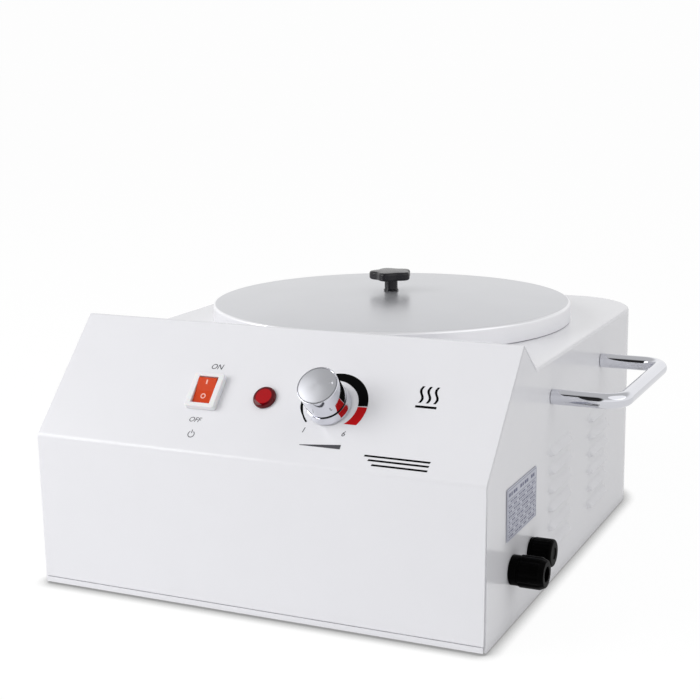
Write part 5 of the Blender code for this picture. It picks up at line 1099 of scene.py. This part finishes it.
class WAXHEATER_OT_finishes(HeaterOperator, bpy.types.Operator):
    """Finish of every CAD node that stays as it is"""

    bl_idname = "waxheater.finishes"
    bl_label = "Finishes of the other parts"

    def execute(self, context):
        slots = {part["node"]: part["material_slot"] for part in frame["record"]["subparts"]}
        for name, node in frame["nodes"].items():
            if not node.hide_render:
                node.data.materials.clear()
                node.data.materials.append(FINISH_OF_SLOT[slots[name]]())
        return {"FINISHED"}


class WAXHEATER_OT_stage(HeaterOperator, bpy.types.Operator):
    """Pale floor, even studio light and the camera"""

    bl_idname = "waxheater.stage"
    bl_label = "Stage"

    def execute(self, context):
        scene, stage = context.scene, context.scene.wax_heater_stage
        points, faces = sheet_patch(-30, 30, -30, 30)
        mesh = bpy.data.meshes.new("floor")
        mesh.from_pydata(points.tolist(), [], faces.tolist())
        floor = bpy.data.objects.new("floor", mesh)
        scene.collection.objects.link(floor)
        # Matt paper floor. The camera and reflections see it lifted almost to white, apart from a short shadow
        # where something stands close to it, as in the photograph
        paper = bpy.data.materials.new("white paper")
        paper.use_nodes = True
        tree = paper.node_tree
        shader = tree.nodes["Principled BSDF"]
        shader.inputs["Roughness"].default_value = 1.0
        shader.inputs["Specular IOR Level"].default_value = 0.0
        shader.inputs["Emission Color"].default_value = (1, 1, 1, 1)
        seen = seen_rays(tree)
        near = add_node(tree, "ShaderNodeAmbientOcclusion", {"Distance": 0.010}, samples=12).outputs["AO"]
        values = {"From Min": 0.45, "From Max": 0.97, "To Min": 0.3, "To Max": stage.floor_lift}
        lift = add_node(tree, "ShaderNodeMapRange", values, {"Value": near}).outputs["Result"]
        lift = add_node(tree, "ShaderNodeMath", None, {0: lift, 1: seen}, operation="MULTIPLY").outputs[0]
        camera_ray = add_node(tree, "ShaderNodeLightPath").outputs["Is Camera Ray"]
        direct = add_node(tree, "ShaderNodeMapRange", {"To Min": 0.82}, {"Value": camera_ray}).outputs["Result"]
        strength = add_node(tree, "ShaderNodeMath", None, {0: lift, 1: direct}, operation="MULTIPLY").outputs[0]
        tree.links.new(strength, shader.inputs["Emission Strength"])
        tones = {MIX_A: (0.96, 0.96, 0.96, 1), MIX_B: (0.08, 0.08, 0.08, 1)}
        tone = add_node(tree, "ShaderNodeMix", tones, {"Factor": seen}, data_type="RGBA")
        tree.links.new(tone.outputs[2], shader.inputs["Base Color"])
        floor.data.materials.append(paper)

        # For the light, an even sky that is a little brighter overhead. Gloss sees a white backdrop low down,
        # a dimmer ceiling, and the dark room behind the camera
        world = bpy.data.worlds.new("studio")
        scene.world = world
        world.use_nodes = True
        tree = world.node_tree
        way = add_node(tree, "ShaderNodeTexCoord").outputs["Generated"]
        up = add_node(tree, "ShaderNodeSeparateXYZ", None, {"Vector": way}).outputs["Z"]
        smooth = {"interpolation_type": "SMOOTHSTEP"}
        values = {"From Min": 0.32, "From Max": 0.65, "To Min": 1.0, "To Max": stage.ceiling}
        backdrop = add_node(tree, "ShaderNodeMapRange", values, {"Value": up}, **smooth).outputs["Result"]
        room = Vector((-0.40, -0.82, 0.41)).normalized()
        facing = add_node(tree, "ShaderNodeVectorMath", {1: room}, {0: way}, operation="DOT_PRODUCT").outputs["Value"]
        values = {"From Min": 0.80, "From Max": 0.92, "To Min": 1.0, "To Max": 0.03}
        dark = add_node(tree, "ShaderNodeMapRange", values, {"Value": facing}, **smooth).outputs["Result"]
        mirrored = add_node(tree, "ShaderNodeMath", None, {0: backdrop, 1: dark}, operation="MULTIPLY").outputs[0]
        camera_ray = add_node(tree, "ShaderNodeLightPath").outputs["Is Camera Ray"]
        links = {"Value": camera_ray, "To Min": mirrored}
        shown = add_node(tree, "ShaderNodeMapRange", {"To Max": 0.984}, links).outputs["Result"]
        values = {"From Max": 1.0, "To Min": stage.sky, "To Max": stage.sky + 0.16}
        even = add_node(tree, "ShaderNodeMapRange", values, {"Value": up}).outputs["Result"]
        links = {"Value": seen_rays(tree), "To Min": even, "To Max": shown}
        level = add_node(tree, "ShaderNodeMapRange", None, links).outputs["Result"]
        background = tree.nodes["Background"]
        background.inputs["Color"].default_value = (1, 1, 1, 1)
        tree.links.new(level, background.inputs["Strength"])

        # A round soft box at the front left, which throws the knob's shadow to the right, and a weak one close by at
        # the right, which lightens the upper part of the right-hand wall
        for name, place, aim, width, power in (
            ("soft_box", (-1.39, -1.21, 0.96), (-0.04, -0.20, 0.17), 1.5, stage.box),
            ("side_box", (0.58, -0.08, 0.56), (0.16, 0.05, 0.15), 0.7, stage.side_box),
        ):
            light = bpy.data.lights.new(name, "AREA")
            light.shape, light.size, light.energy = "DISK", width, power
            box = bpy.data.objects.new(name, light)
            box.location = place
            box.rotation_euler = (Vector(aim) - Vector(place)).to_track_quat("-Z", "Y").to_euler()
            scene.collection.objects.link(box)

        # Camera solved from the housing's edges in the photograph
        place, azimuth, elevation, roll = (0.4141, -0.93065, 0.3441), -0.43172, 0.20262, -0.01207
        flat = np.cos(elevation)
        ahead = Vector((np.sin(azimuth) * flat, np.cos(azimuth) * flat, -np.sin(elevation)))
        right = Vector((np.cos(azimuth), -np.sin(azimuth), 0))
        up = right.cross(ahead)
        level_x = right * np.cos(roll) + up * np.sin(roll)
        level_y = up * np.cos(roll) - right * np.sin(roll)
        data = bpy.data.cameras.new("camera")
        data.lens, data.sensor_width, data.sensor_fit, data.clip_end = stage.lens, 36.0, "HORIZONTAL", 200.0
        camera = bpy.data.objects.new("camera", data)
        turn = Matrix((level_x, level_y, -ahead)).transposed().to_4x4()
        camera.matrix_world = Matrix.Translation(place) @ turn
        scene.collection.objects.link(camera)
        scene.camera = camera
        scene.view_settings.view_transform = "Standard"
        return {"FINISHED"}


OPERATORS = (
    WAXHEATER_OT_console,
    WAXHEATER_OT_walls,
    WAXHEATER_OT_lid,
    WAXHEATER_OT_lid_knob,
    WAXHEATER_OT_pot,
    WAXHEATER_OT_switch,
    WAXHEATER_OT_lamp,
    WAXHEATER_OT_knob,
    WAXHEATER_OT_print,
    WAXHEATER_OT_plate,
    WAXHEATER_OT_gland,
    WAXHEATER_OT_fuse,
    WAXHEATER_OT_handles,
    WAXHEATER_OT_feet,
    WAXHEATER_OT_finishes,
    WAXHEATER_OT_stage,
)


class WAXHEATER_PT_panel(bpy.types.Panel):
    """Sidebar panel that lists the sizes, colours and operators"""

    bl_idname = "WAXHEATER_PT_panel"
    bl_label = "Wax heater"
    bl_space_type = "VIEW_3D"
    bl_region_type = "UI"
    bl_category = "Wax heater"

    def draw(self, context):
        for title, group in (
            ("Sizes", context.scene.wax_heater_sizes),
            ("Colours", context.scene.wax_heater_colours),
            ("Stage", context.scene.wax_heater_stage),
        ):
            box = self.layout.box()
            box.label(text=title)
            for name in group.__annotations__:
                box.prop(group, name)
        for operator in OPERATORS:
            self.layout.operator(operator.bl_idname)


GROUPS = {
    "wax_heater_sizes": HeaterSizes,
    "wax_heater_colours": HeaterColours,
    "wax_heater_stage": HeaterStage,
}


def register():
    for name, group in GROUPS.items():
        bpy.utils.register_class(group)
        setattr(bpy.types.Scene, name, PointerProperty(type=group))
    for operator in OPERATORS:
        bpy.utils.register_class(operator)
    bpy.utils.register_class(WAXHEATER_PT_panel)


def unregister():
    bpy.utils.unregister_class(WAXHEATER_PT_panel)
    for operator in reversed(OPERATORS):
        bpy.utils.unregister_class(operator)
    for name, group in GROUPS.items():
        delattr(bpy.types.Scene, name)
        bpy.utils.unregister_class(group)


def main():
    """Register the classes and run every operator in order."""
    register()
    for operator in OPERATORS:
        getattr(bpy.ops.waxheater, operator.bl_idname.split(".")[1])()


if __name__ == "__main__":
    main()
